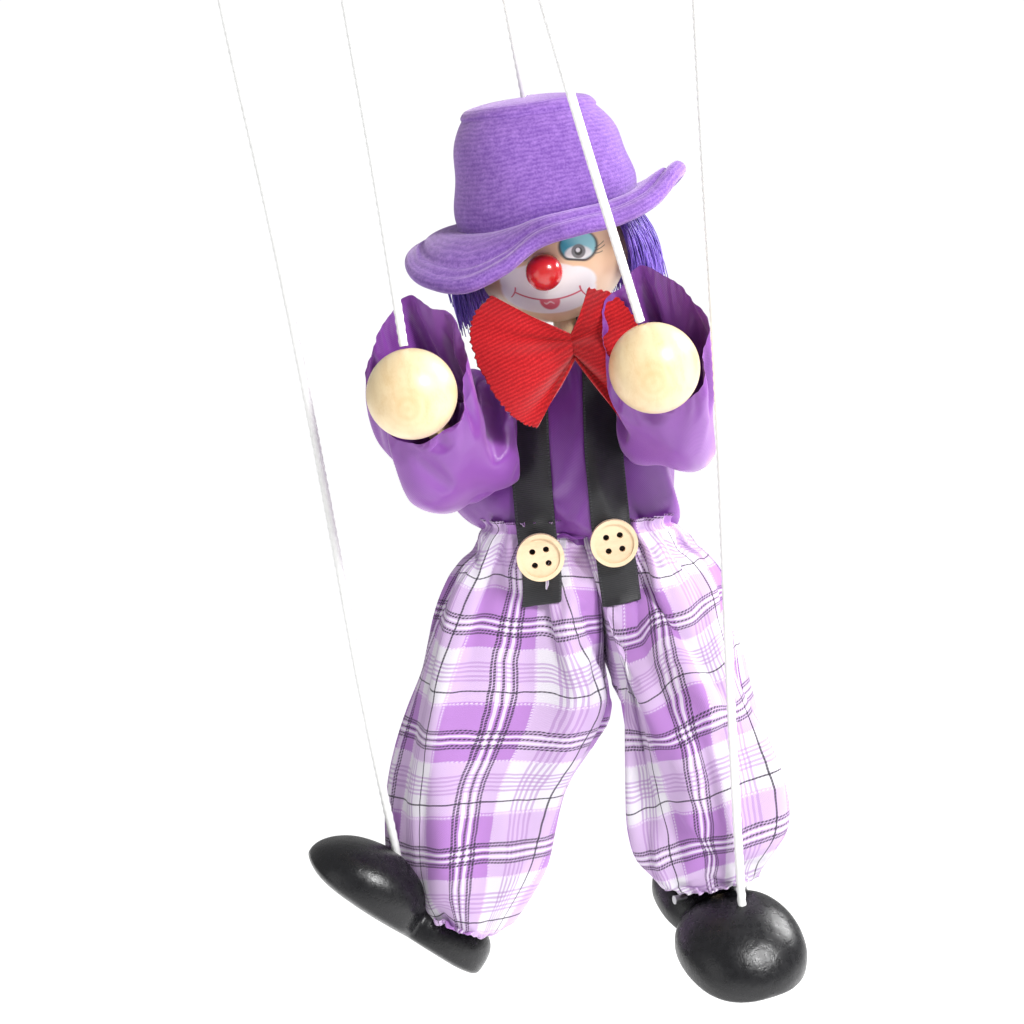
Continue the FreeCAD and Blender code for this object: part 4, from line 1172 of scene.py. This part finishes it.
CHECK = 32.0  # one repeat of the check, in millimetres
CLUSTER_DARK, CLUSTER_LIGHT = (1.6, 2.3, 4.1, 5.9, 6.6), (3.2, 5.0)
FINE_LINES, SINGLE_LINE, CRINKLE_LINES = (14.6, 15.7, 16.9, 18.2, 19.3), (22.4,), (10.6, 26.0)


def checked(name):
    finish = Finish(name)
    across, along = finish.chart()
    place = finish.place()
    wander = (finish.noise(place, 0.10, 2.0) - 0.5) * 1.4
    runs = [(across + wander) % CHECK, (along + wander + 6.0) % CHECK]

    def band(part):
        """How lilac the threads are along one direction."""
        return 1 - part.fade(10.4, 10.9) * part.fade(25.6, 25.1)

    def lines(part, places, half):
        found = None
        for spot in places:
            mark = abs(part - spot).fade(half + 0.09, half)
            found = mark if found is None else found.most(mark)
        return found

    twill = ((across + along) * (math.tau / 0.62)).sine().fade(-0.5, 0.5)
    dashes = [(other * (math.tau / 0.8) + part * 4.0).sine().fade(-0.45, 0.1)
              for part, other in ((runs[0], along), (runs[1], across))]
    lilac = (band(runs[0]) + band(runs[1])) * 0.5
    colour = finish.ramp(lilac + (twill - 0.5) * 0.16, (0.0, (0.72, 0.69, 0.75)),
                         (0.5, (0.60, 0.43, 0.68)), (1.0, (0.42, 0.19, 0.54)))
    for part, dash in zip(runs, dashes):
        colour = finish.mix(lines(part, FINE_LINES, 0.24) * 0.6, colour, (0.40, 0.22, 0.50))
        colour = finish.mix(lines(part, CLUSTER_LIGHT, 0.26) * 0.65, colour, (0.80, 0.78, 0.83))
        crinkle = lines(part + (dash - 0.5) * 0.35, CRINKLE_LINES, 0.18) * (dash * 0.7 + 0.3)
        colour = finish.mix(crinkle * 0.6, colour, (0.84, 0.80, 0.87))
    for part, dash in zip(runs, dashes):
        dark = lines(part, CLUSTER_DARK, 0.20) * (dash * 0.6 + 0.4)
        dark = dark.most(lines(part, SINGLE_LINE, 0.17) * (dash * 0.2 + 0.8))
        colour = finish.mix(dark * 0.93, colour, (0.022, 0.018, 0.03))
    grain_of_cloth = finish.noise(place, 2.2, 3.0, 0.6)
    return finish.surface(
        Base_Color=colour, Roughness=grain_of_cloth * 0.15 + 0.58, Specular_IOR_Level=0.3,
        Sheen_Weight=0.2, Sheen_Roughness=0.4, Sheen_Tint=(1.0, 0.95, 1.0, 1.0),
        Normal=finish.relief(twill * 0.6 + grain_of_cloth * 0.6, 0.08, 0.8))


check_cotton = checked("plaid_cloth")

# %% [markdown]
# ## The shirt
# The body of the shirt starts at a small collar, goes over the shoulders, blouses out above the
# waist and is gathered into the trousers. The puppet hangs a little slanted, so the waist does too.

# %% The body of the shirt
SHIRT_AROUND, SHIRT_ROWS, SHIRT_SPARE = 128, 76, 0.22
SHIRT = [  # height at the middle, middle x, half width, half depth, slope of the ring
    (-175.8, -1.0, 7.0, 6.5, 0.0), (-178.5, -2.0, 13.0, 9.5, -0.02),
    (-183.0, -3.0, 22.0, 11.5, -0.04), (-189.0, -4.0, 28.5, 13.5, -0.06),
    (-196.0, -6.0, 32.5, 15.2, -0.08), (-204.0, -8.0, 34.5, 16.6, -0.10),
    (-212.0, -9.4, 35.0, 17.6, -0.13),
    (-219.0, -9.8, 33.5, 17.9, -0.16), (-224.5, -9.4, 30.0, 17.2, -0.18),
    (-228.5, -8.8, 24.8, 15.2, -0.19), (-232.5, -8.5, 23.0, 14.0, -0.19)]
shirt_rings = [((x, 0.0, z), (wide, 0, wide * slope), (0, -deep, 0))
               for z, x, wide, deep, slope in SHIRT]
rows = tube_rows(shirt_rings, SHIRT_ROWS, SHIRT_AROUND)
ring_angle = np.arange(SHIRT_AROUND) * math.tau / SHIRT_AROUND
gather = 1.0 * np.sin(ring_angle * 21 + 0.6 * np.sin(ring_angle * 3))
for k, row in enumerate(rows):
    pull = max(0.0, (k / (SHIRT_ROWS - 1) - 0.72) / 0.28)
    outward = (row - row.mean(0)) / np.linalg.norm(row - row.mean(0), axis=1, keepdims=True)
    rows[k] = row + outward * (gather * pull)[:, None]
rows = crumple(rows, 21, 1.6, (3, 8), 14, climb=2.5)
shirt = skin("satin_shirt", rows, chart=cloth_chart(rows))
hold = np.zeros(rows.shape[:2])
hold[:3], hold[-7:] = 1.0, 1.0
shirt_cut = cut_size(rows)
settle(shirt, hold.ravel(), spare=SHIRT_SPARE, pressure=0.9, fall=0.6, cap=5.5, stiff=3.0)
paint(shirt, shirt_satin)
finer(shirt)

# %% [markdown]
# ## Sleeves
# Each sleeve is wide for such a thin arm. It leaves the shirt at the shoulder, drops to the elbow
# and turns up to the hand, where its cuff stands open behind the ball. One simulation shapes the
# whole sleeve. Then it is cut at a ring above the elbow into an upper and a lower length.

# %% The two sleeves
SLEEVE_AROUND, SLEEVE_ROWS, SLEEVE_SPARE = 84, 64, 0.12
SLEEVES = {  # centre, direction of the tube, half across, half up
    "right": [((-24, -1, -190), (-.75, -.45, -.5), 10.5, 12),
              ((-31, -8, -195), (-.5, -.7, -.5), 11.5, 14),
              ((-36, -15, -197.5), (-.35, -.9, -.15), 12.2, 14.8),
              ((-40.5, -23, -194.5), (-.25, -.92, .25), 12.8, 15.2),
              ((-43.8, -29, -188.5), (-.22, -.88, .42), 14.5, 17.5),
              ((-44.3, -33.5, -182), (-.2, -.88, .42), 14.0, 18.3),
              ((-43.6, -36.5, -177.5), (-.2, -.9, .38), 13.2, 18.8),
              ((-42.4, -38.5, -174.5), (-.2, -.92, .34), 13.4, 19.6)],
    "left": [((16, 0, -190), (.75, -.45, -.5), 10, 11.5),
             ((20.5, -7, -196), (.35, -.78, -.5), 11, 14),
             ((21.8, -14, -198.5), (.05, -.97, -.2), 11.6, 14.8),
             ((22.0, -22, -196.5), (-.08, -.95, .25), 12, 15.6),
             ((21.8, -28, -190.5), (-.12, -.9, .42), 12.4, 16.6),
             ((21.4, -33, -185), (-.14, -.88, .43), 12.8, 17.6),
             ((21.2, -36, -181), (-.14, -.9, .40), 13.0, 18.2),
             ((21.0, -38, -178), (-.14, -.92, .36), 13.6, 19.2)]}


def sleeve_rings(side):
    across_way = unit(JOINTS["arm_lift_" + side]["axis"]) * (-1 if side == "left" else 1)
    rings = []
    for centre, way, half_across, half_up in SLEEVES[side]:
        way = unit(way)
        across = unit(across_way - way * np.dot(across_way, way))
        up = np.cross(across, way)
        up = up if up[2] > 0 else -up
        rings.append((centre, across * half_across, up * half_up))
    return rings


for side in SIDES:
    rows = tube_rows(sleeve_rings(side), SLEEVE_ROWS, SLEEVE_AROUND)
    ring_angle = np.arange(SLEEVE_AROUND) * math.tau / SLEEVE_AROUND
    wave = 0.9 * np.sin(ring_angle * 5 + 1.0) + 0.6 * np.sin(ring_angle * 8 + 2.0)
    for k in range(SLEEVE_ROWS - 14, SLEEVE_ROWS):
        part = (k - SLEEVE_ROWS + 15) / 14
        outward = rows[k] - rows[k].mean(0)
        outward /= np.linalg.norm(outward, axis=1, keepdims=True)
        rows[k] += outward * (wave * part ** 2)[:, None]
    rows = crumple(rows, 31, 1.7, (2, 5), 10, climb=1.6)
    sleeve = skin("sleeve_" + side, rows, chart=cloth_chart(rows))
    mark_rows(sleeve, SLEEVE_AROUND)
    hold = np.zeros(rows.shape[:2])
    hold[:3], hold[-2:] = 1.0, 0.75
    settle(sleeve, hold.ravel(), frames=22, spare=SLEEVE_SPARE, pressure=0.9, fall=0.5, cap=4.0,
           stiff=5.0)
    clear_of_wood(sleeve, rows, [joint_at("arm_lift_" + side), joint_at("elbow_" + side),
                                 middle("hand_" + side)], 6.5)
    finer(sleeve)
    paint(sleeve, shirt_satin)
    cut = 21.0
    upper, lower = split_rows(sleeve, [cut], ["sleeve_top_" + side, "sleeve_cuff_" + side])
    for piece in (upper, lower):
        paint(piece, shirt_satin)
    seam = rows[int(cut)].mean(0)
    way = unit(rows[int(cut) + 3].mean(0) - rows[int(cut) - 3].mean(0))
    tuple((seam - way * 15) * MM)
    tuple((seam - way * 2.5) * MM)
    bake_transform(upper)
    tuple((seam + way * 2.5) * MM)
    tuple((seam + way * 18) * MM)
    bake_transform(lower)
    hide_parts("upper_sleeve_" + side)
    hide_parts("lower_sleeve_" + side)
    cloth_sheet(upper, cut_size(rows, 0, cut))
    cloth_sheet(lower, cut_size(rows, cut))

# %% [markdown]
# ## Trousers
# The trousers are two baggy legs joined by a seam down the middle, with an elastic waist whose edge
# stands up as a frill. Each leg is a tube from the frill to the hem. Down to the fork its inner
# side is flat against the other leg, and below that it is round.

# %% The two legs, and the shirt under the buttons
LEG_AROUND, LEG_ROWS, LEG_SPARE = 112, 120, 0.15
LEGS = {  # outer x z, inner x z, middle y, half depth
    "right": [(-34.0, -221.0, -8.5, -225.0, -1, 16.0), (-33.4, -224.4, -8.5, -228.8, -1, 15.2),
              (-44.0, -229.5, -8.2, -239, -1.6, 17.4), (-54.0, -240, -7.8, -252, -2.6, 18.4),
              (-62.0, -252, -7.4, -264, -4, 18.8), (-67.5, -263, -8.0, -275.5, -6, 18.8),
              (-72.0, -275, -17.0, -286, -8, 18.6), (-76.0, -287.5, -25.5, -294.5, -9.5, 18.4),
              (-78.5, -299, -30.5, -303.8, -11.5, 18.4),
              (-79.2, -309.5, -35.0, -313.5, -13.5, 18.6),
              (-76.5, -316.5, -41.5, -321.0, -15.5, 18.2),
              (-70.5, -321.6, -49.0, -329.0, -17, 16.8), (-68.6, -324.2, -51.4, -332.6, -17, 17.2)],
    "left": [(19.0, -229.6, -8.5, -225.0, -1, 16.0), (18.4, -233.0, -8.5, -228.8, -1, 15.2),
             (25.5, -237, -8.2, -239, -2.6, 17.4), (31.0, -246, -7.8, -252, -6.5, 18.4),
             (32.0, -255, -7.4, -264, -13, 18.8), (33.5, -265, -6.8, -274, -20, 18.8),
             (34.0, -276.5, -6.8, -284, -27, 18.4), (34.0, -288, -7.2, -294, -31, 18.0),
             (33.4, -299, -7.6, -303.6, -33, 17.6), (31.4, -308.5, -7.0, -312.6, -34, 17.4),
             (27.2, -315, -4.2, -318.0, -35, 16.2), (22.4, -321.6, -1.4, -324.0, -35, 14.4),
             (21.0, -325.0, -0.4, -327.0, -35, 14.8)]}
SEAT_CUT, KNEE_CUT = 28.0, 50.0
BUTTON_FRONT = -18.5


def leg_rings(side):
    rings = []
    for outer_x, outer_z, inner_x, inner_z, y, deep in LEGS[side]:
        outer, inner = np.array([outer_x, y, outer_z]), np.array([inner_x, y, inner_z])
        rings.append(((outer + inner) / 2, (outer - inner) / 2, (0, -deep, 0)))
    return rings


leg_parts = {}
for side in SIDES:
    rows = tube_rows(leg_rings(side), LEG_ROWS, LEG_AROUND,
                     square=lambda part: 0.72 * (1 - min(1, max(0, (part - 0.30) / 0.16))))
    ring_angle = np.arange(LEG_AROUND) * math.tau / LEG_AROUND
    flip = 1 if side == "right" else -1
    ruffle = np.sin(ring_angle * 19 + flip * 0.9 * np.sin(ring_angle * 4)) \
        + 0.6 * np.sin(ring_angle * 31 + 1)
    for k in range(LEG_ROWS):
        part = k / (LEG_ROWS - 1)
        frill = 1.5 * max(0.0, 1 - part / 0.075)
        gather = 1.15 * math.exp(-((part - 0.13) / 0.065) ** 2)
        hem = 1.3 * max(0.0, (part - 0.88) / 0.12)
        outward = rows[k] - rows[k].mean(0)
        outward /= np.linalg.norm(outward, axis=1, keepdims=True)
        free = np.clip((np.cos(ring_angle) + 0.92) / 0.25, 0, 1) if part < 0.4 else 1.0
        rows[k] += outward * (ruffle * (frill + gather + hem) * free)[:, None]
    drawn, chart_at = rows.copy(), cloth_chart(rows)
    rows = crumple(rows, 41 if side == "right" else 47, 2.7, (2, 6), 24, climb=2.0)
    rows = crumple(rows, 43, 0.8, (5, 12), 16, climb=3.0)
    leg = skin("trouser_leg_" + side, rows, chart=lambda row, step: (
        flip * chart_at(row, step)[0] + 5.0, chart_at(row, step)[1]))
    mark_rows(leg, LEG_AROUND)
    hold = np.zeros(rows.shape[:2])
    hold[:12] = 1.0
    hold[-3:] = 0.9
    inner_wall = np.cos(ring_angle) < -0.86
    hold[:int(LEG_ROWS * 0.40), inner_wall] = 1.0
    settle(leg, hold.ravel(), frames=26, spare=LEG_SPARE, pressure=0.8, fall=0.35, cap=5.0,
           stiff=1.2)
    clear_of_wood(leg, rows, [joint_at(kind + side) for kind in ("leg_lift_", "knee_", "ankle_")],
                  8.5)
    finer(leg)
    co = np.array([v.co for v in leg.data.vertices]) / MM
    for button in ("button_right", "button_left"):
        x, _, z = middle(button)
        near = np.hypot(co[:, 0] - x, (co[:, 2] - z) * 0.8)
        press = np.clip((13.0 - near) / 5.0, 0, 1)
        deep = np.where(co[:, 1] < BUTTON_FRONT, BUTTON_FRONT - co[:, 1], 0.0)
        co[:, 1] += deep * press
    leg.data.vertices.foreach_set("co", (co * MM).ravel())
    paint(leg, check_cotton)
    seat, thigh, shin = split_rows(leg, [SEAT_CUT, KNEE_CUT],
                                   ["trouser_top_" + side, "trouser_knee_" + side,
                                    "trouser_hem_" + side])
    for piece in (seat, thigh, shin):
        paint(piece, check_cotton)
    fork, knee = rows[int(SEAT_CUT)].mean(0), rows[int(KNEE_CUT)].mean(0)
    fork_way = unit(rows[int(SEAT_CUT) + 3].mean(0) - rows[int(SEAT_CUT) - 3].mean(0))
    knee_way = unit(rows[int(KNEE_CUT) + 3].mean(0) - rows[int(KNEE_CUT) - 3].mean(0))
    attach(seat, "control_and_torso")
    tuple((fork + fork_way * 2) * MM)
    tuple((knee - knee_way * 2) * MM)
    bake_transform(thigh)
    tuple((knee + knee_way * 2) * MM)
    tuple((knee + knee_way * 26) * MM)
    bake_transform(shin)
    if side == "right":
        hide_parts("trouser_seat")
    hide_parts("trouser_thigh_" + side)
    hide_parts("trouser_shin_" + side)
    for piece, first, last in ((seat, 0, SEAT_CUT), (thigh, SEAT_CUT, KNEE_CUT),
                               (shin, KNEE_CUT, None)):
        cloth_sheet(piece, cut_size(drawn, first, last))
    leg_parts[side] = (seat, thigh, shin)

co = np.array([v.co for v in shirt.data.vertices]) / MM
for button in ("button_right", "button_left"):
    x, _, z = middle(button)
    near = np.hypot(co[:, 0] - x, (co[:, 2] - z) * 0.8)
    press = np.clip((15.0 - near) / 5.0, 0, 1)
    co[:, 1] += np.where(co[:, 1] < BUTTON_FRONT, BUTTON_FRONT - co[:, 1], 0.0) * press
shirt.data.vertices.foreach_set("co", (co * MM).ravel())
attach(shirt, "control_and_torso")
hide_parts("shirt_body")
cloth_sheet(shirt, shirt_cut)

# %% [markdown]
# ## Black ribbon straps
# The straps are black satin ribbon, woven with a ribbed edge. They come over the shoulders, lie on
# the shirt, cross the waist and end in a cut edge below the buttons. A ribbon takes the shape of
# what it lies on, so each point of it is found by looking at the clothes from outside.

# %% Ribbons laid on the clothes
from mathutils.bvhtree import BVHTree

STRAP_WIDTH, STRAP_COLUMNS = 11.0, 8
STRAPS = {  # x, z of the middle of the ribbon, and the direction it is seen from, as an angle
    "right": [(-22.0, -246.0, 0), (-20.4, -238.0, 0), (-19.6, -226.0, 0), (-18.4, -214.0, 0),
              (-17.0, -203.0, 0), (-15.4, -193.0, 0), (-14.4, -186.0, 12), (-14.2, -181.0, 45),
              (-14.2, -179.0, 90), (-14.2, -181.0, 135), (-14.6, -188.0, 168), (-16.0, -198.0, 180),
              (-17.6, -210.0, 180), (-19.0, -222.0, 180), (-20.0, -234.0, 180),
              (-20.6, -240.0, 180)],
    "left": [(-0.4, -249.5, 0), (0.2, -240.0, 0), (0.7, -228.5, 0), (1.8, -217.0, 0),
             (3.0, -206.0, 0), (5.0, -194.0, 0), (6.8, -186.0, 12), (7.6, -181.0, 45),
             (7.8, -179.0, 90), (7.6, -181.0, 135), (6.8, -188.0, 168), (4.8, -198.0, 180),
             (2.6, -210.0, 180), (1.2, -222.0, 180), (0.4, -234.0, 180), (0.0, -240.0, 180)]}


def clothes_tree(pieces):
    points, faces = [], []
    for piece in pieces:
        base = len(points)
        points += [v.co / MM for v in piece.data.vertices]
        faces += [tuple(base + v for v in face.vertices) for face in piece.data.polygons]
    return BVHTree.FromPolygons(points, faces)


dressed = clothes_tree([shirt] + [leg_parts[side][0] for side in SIDES])


def strap_rows(side, count=110):
    smooth = through(STRAPS[side], count)
    rows, depth = [], []
    for x, z, seen_from in smooth:
        angle = math.radians(seen_from)
        out = Vector((0, -math.cos(angle), math.sin(angle)))
        line = []
        for column in range(STRAP_COLUMNS):
            shift = (column / (STRAP_COLUMNS - 1) - 0.5) * STRAP_WIDTH
            base = Vector((x + shift, 0.0, z if seen_from < 40 or seen_from > 140 else -181.0))
            hit = dressed.ray_cast(base + out * 60, -out, 90)[0]
            line.append((hit - base).dot(out) if hit else np.nan)
        rows.append((x, z if seen_from < 40 or seen_from > 140 else -181.0, out))
        depth.append(line)
    depth = np.array(depth)
    depth = np.where(np.isnan(depth), np.nanmedian(depth), depth)
    stiff = depth.copy()
    for _ in range(14):
        padded = np.pad(stiff, ((1, 1), (1, 1)), "edge")
        spread = (padded[:-2, 1:-1] + padded[2:, 1:-1] + padded[1:-1, :-2] + padded[1:-1, 2:]) / 4
        stiff = np.maximum(spread, depth)
    for button in ("button_right", "button_left"):
        bx, _, bz = middle(button)
        for k, (x, z, out) in enumerate(rows):
            if out[1] < -0.9 and math.hypot(x - bx, z - bz) < 9.5:
                stiff[k] = np.minimum(stiff[k], 19.35)
    points = []
    for k, (x, z, out) in enumerate(rows):
        line = []
        for column in range(STRAP_COLUMNS):
            shift = (column / (STRAP_COLUMNS - 1) - 0.5) * STRAP_WIDTH
            spot = Vector((x + shift, 0.0, z)) + out * (stiff[k, column] + 0.6)
            line.append(tuple(spot))
        points.append(line)
    return np.array(points)


def ribbon_finish(name):
    finish = Finish(name)
    across, along = finish.chart()
    cord_rib = (along * (math.tau / 0.55)).sine() * 0.5 + 0.5
    from_edge = (STRAP_WIDTH / 2) - abs(across - STRAP_WIDTH / 2)
    edge = from_edge.fade(0.9, 0.6)
    stitch = ((along * (math.tau / 0.9)).sine()).fade(-0.2, 0.3) * edge
    soft = finish.noise(finish.place(), 0.35, 3.0)
    lint = finish.noise(finish.place(), 2.4, 2.0, 0.7).fade(0.70, 0.76)
    return finish.surface(
        Base_Color=finish.mix(stitch * 0.5 + cord_rib * 0.25 + lint * 0.3 + soft * 0.2,
                              (0.005, 0.005, 0.006), (0.045, 0.045, 0.052)),
        Roughness=soft * 0.18 + 0.36 + edge * 0.2, Specular_IOR_Level=0.5,
        Sheen_Weight=0.08, Sheen_Roughness=0.35,
        Normal=finish.relief(cord_rib * 0.4 + stitch, 0.10, 0.8))


black_ribbon = ribbon_finish("black_ribbon")
for side in SIDES:
    rows = strap_rows(side)
    length = np.concatenate([[0], np.cumsum(np.linalg.norm(np.diff(rows[:, 4], axis=0), axis=1))])
    strap = skin("ribbon_" + side, rows, closed=False,
                 chart=lambda row, step: (step * STRAP_WIDTH / (STRAP_COLUMNS - 1), length[row]))
    add_modifier(strap, "SOLIDIFY", thickness=0.4 * MM, offset=0.0)
    finer(strap)
    paint(strap, black_ribbon)
    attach(strap, "control_and_torso")
    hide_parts("strap_" + side)
    print(strap.name, "ribbon", round(float(length[-1]), 1), "mm long")

# %% [markdown]
# ## The felt bow tie
# The bow is one square of ribbed red felt, pinched in the middle. The pinch throws folds out into
# both halves, deep beside it and flat at the cut ends. Each half is a grid between the pinch and
# its outer edge, and its points are pushed in and out along lines that leave the pinch.

# %% The two halves of the bow
BOW = {  # outer edge from top to bottom: x, y, z
    "right": [(-19.5, -24.0, -159.8), (-24.5, -28.0, -163.2), (-27.0, -31.0, -168.0),
              (-26.8, -33.0, -175.0), (-24.4, -33.5, -183.0), (-21.0, -32.0, -190.5),
              (-17.5, -30.0, -194.6), (-14.2, -28.0, -196.2)],
    "left": [(6.5, -24.0, -163.0), (11.8, -29.0, -164.6), (15.4, -32.0, -169.0),
             (17.6, -33.0, -177.0), (17.2, -33.5, -186.0), (15.0, -32.5, -193.5),
             (12.6, -31.0, -198.0), (9.8, -29.0, -201.4)]}
PINCH, PINCH_HEIGHT = np.array([-0.6, -27.5, -176.8]), 6.6


def bow_rows(side, around=120, depth=64):
    edge = through(BOW[side], around)
    rng = np.random.default_rng(2 if side == "right" else 8)
    notch = rng.uniform(-0.28, 0.28, around) + 0.25 * np.sin(np.arange(around) * 1.3)
    pinch = np.stack([np.full(around, PINCH[0]), np.full(around, PINCH[1]),
                      PINCH[2] + np.linspace(3.2, -3.4, around)], 1)
    t = np.linspace(-1, 1, around)
    rows = []
    for s in np.linspace(0, 1, depth):
        bulge = math.sin(math.pi * min(1, s * 1.05) * 0.5) ** 0.8
        line = pinch + (edge - pinch) * s
        line[:, 1] += -3.5 * math.sin(math.pi * s) * (1 - 0.4 * t ** 2) + (1 - bulge) * 1.0
        folds = np.sin(t * 5.6 + 0.8) + 0.35 * np.sin(t * 12.0 + 2.0 + s)
        line[:, 1] -= folds * 2.3 * math.sin(math.pi * (0.08 + 0.80 * s)) * (1 - 0.55 * s)
        line += (edge - pinch) / np.linalg.norm(edge - pinch, axis=1, keepdims=True) \
            * (notch * s ** 12)[:, None]
        rows.append(line)
    return np.array(rows)


def bow_felt(name):
    finish = Finish(name)
    across, along = finish.chart()
    place = finish.place()
    fuzz = finish.noise(place, 2.0, 4.0, 0.7)
    rib = ((across + finish.noise(place, 0.2, 2.0) * 0.8) * (math.tau / 1.0)).sine() * 0.5 + 0.5
    tone = (fuzz * 1.0 + rib * 0.30 - 0.35).fade(0.0, 0.9)
    return finish.surface(Base_Color=finish.mix(tone, (0.30, 0.004, 0.008), (0.68, 0.022, 0.026)),
                          Roughness=fuzz * 0.1 + 0.85, Specular_IOR_Level=0.15, Sheen_Weight=0.35,
                          Sheen_Roughness=0.5, Sheen_Tint=(1.0, 0.6, 0.6, 1.0),
                          Normal=finish.relief(rib * 0.12 + fuzz * 0.3, 0.35, 0.7))


RIB_TURN = np.array([[0.96, 0.28], [-0.28, 0.96]])  # the ribs lie a little askew
red_felt = bow_felt("red_felt")
for side in SIDES:
    rows = bow_rows(side)
    half = skin("bow_" + side, rows, closed=False,
                chart=lambda row, step: tuple(rows[row, step, [2, 0]] @ RIB_TURN))
    add_modifier(half, "SOLIDIFY", thickness=0.9 * MM, offset=0.0)
    add_modifier(half, "BEVEL", width=0.2 * MM, segments=1, limit_method="ANGLE")
    modified(half)
    weld(half)
    half.data.polygons.foreach_set("use_smooth", [True] * len(half.data.polygons))
    paint(half, red_felt)
    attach(half, "control_and_torso")
    edge = through(BOW[side], len(rows[0]))
    width = np.linalg.norm(np.diff(edge, axis=0), axis=1).sum() * MM
    length = np.linalg.norm(edge - PINCH, axis=1).mean() * MM
    fan = (width + PINCH_HEIGHT * MM) / 2 * length
    print(half.name, len(half.data.polygons), "faces")
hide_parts("bow_tie")
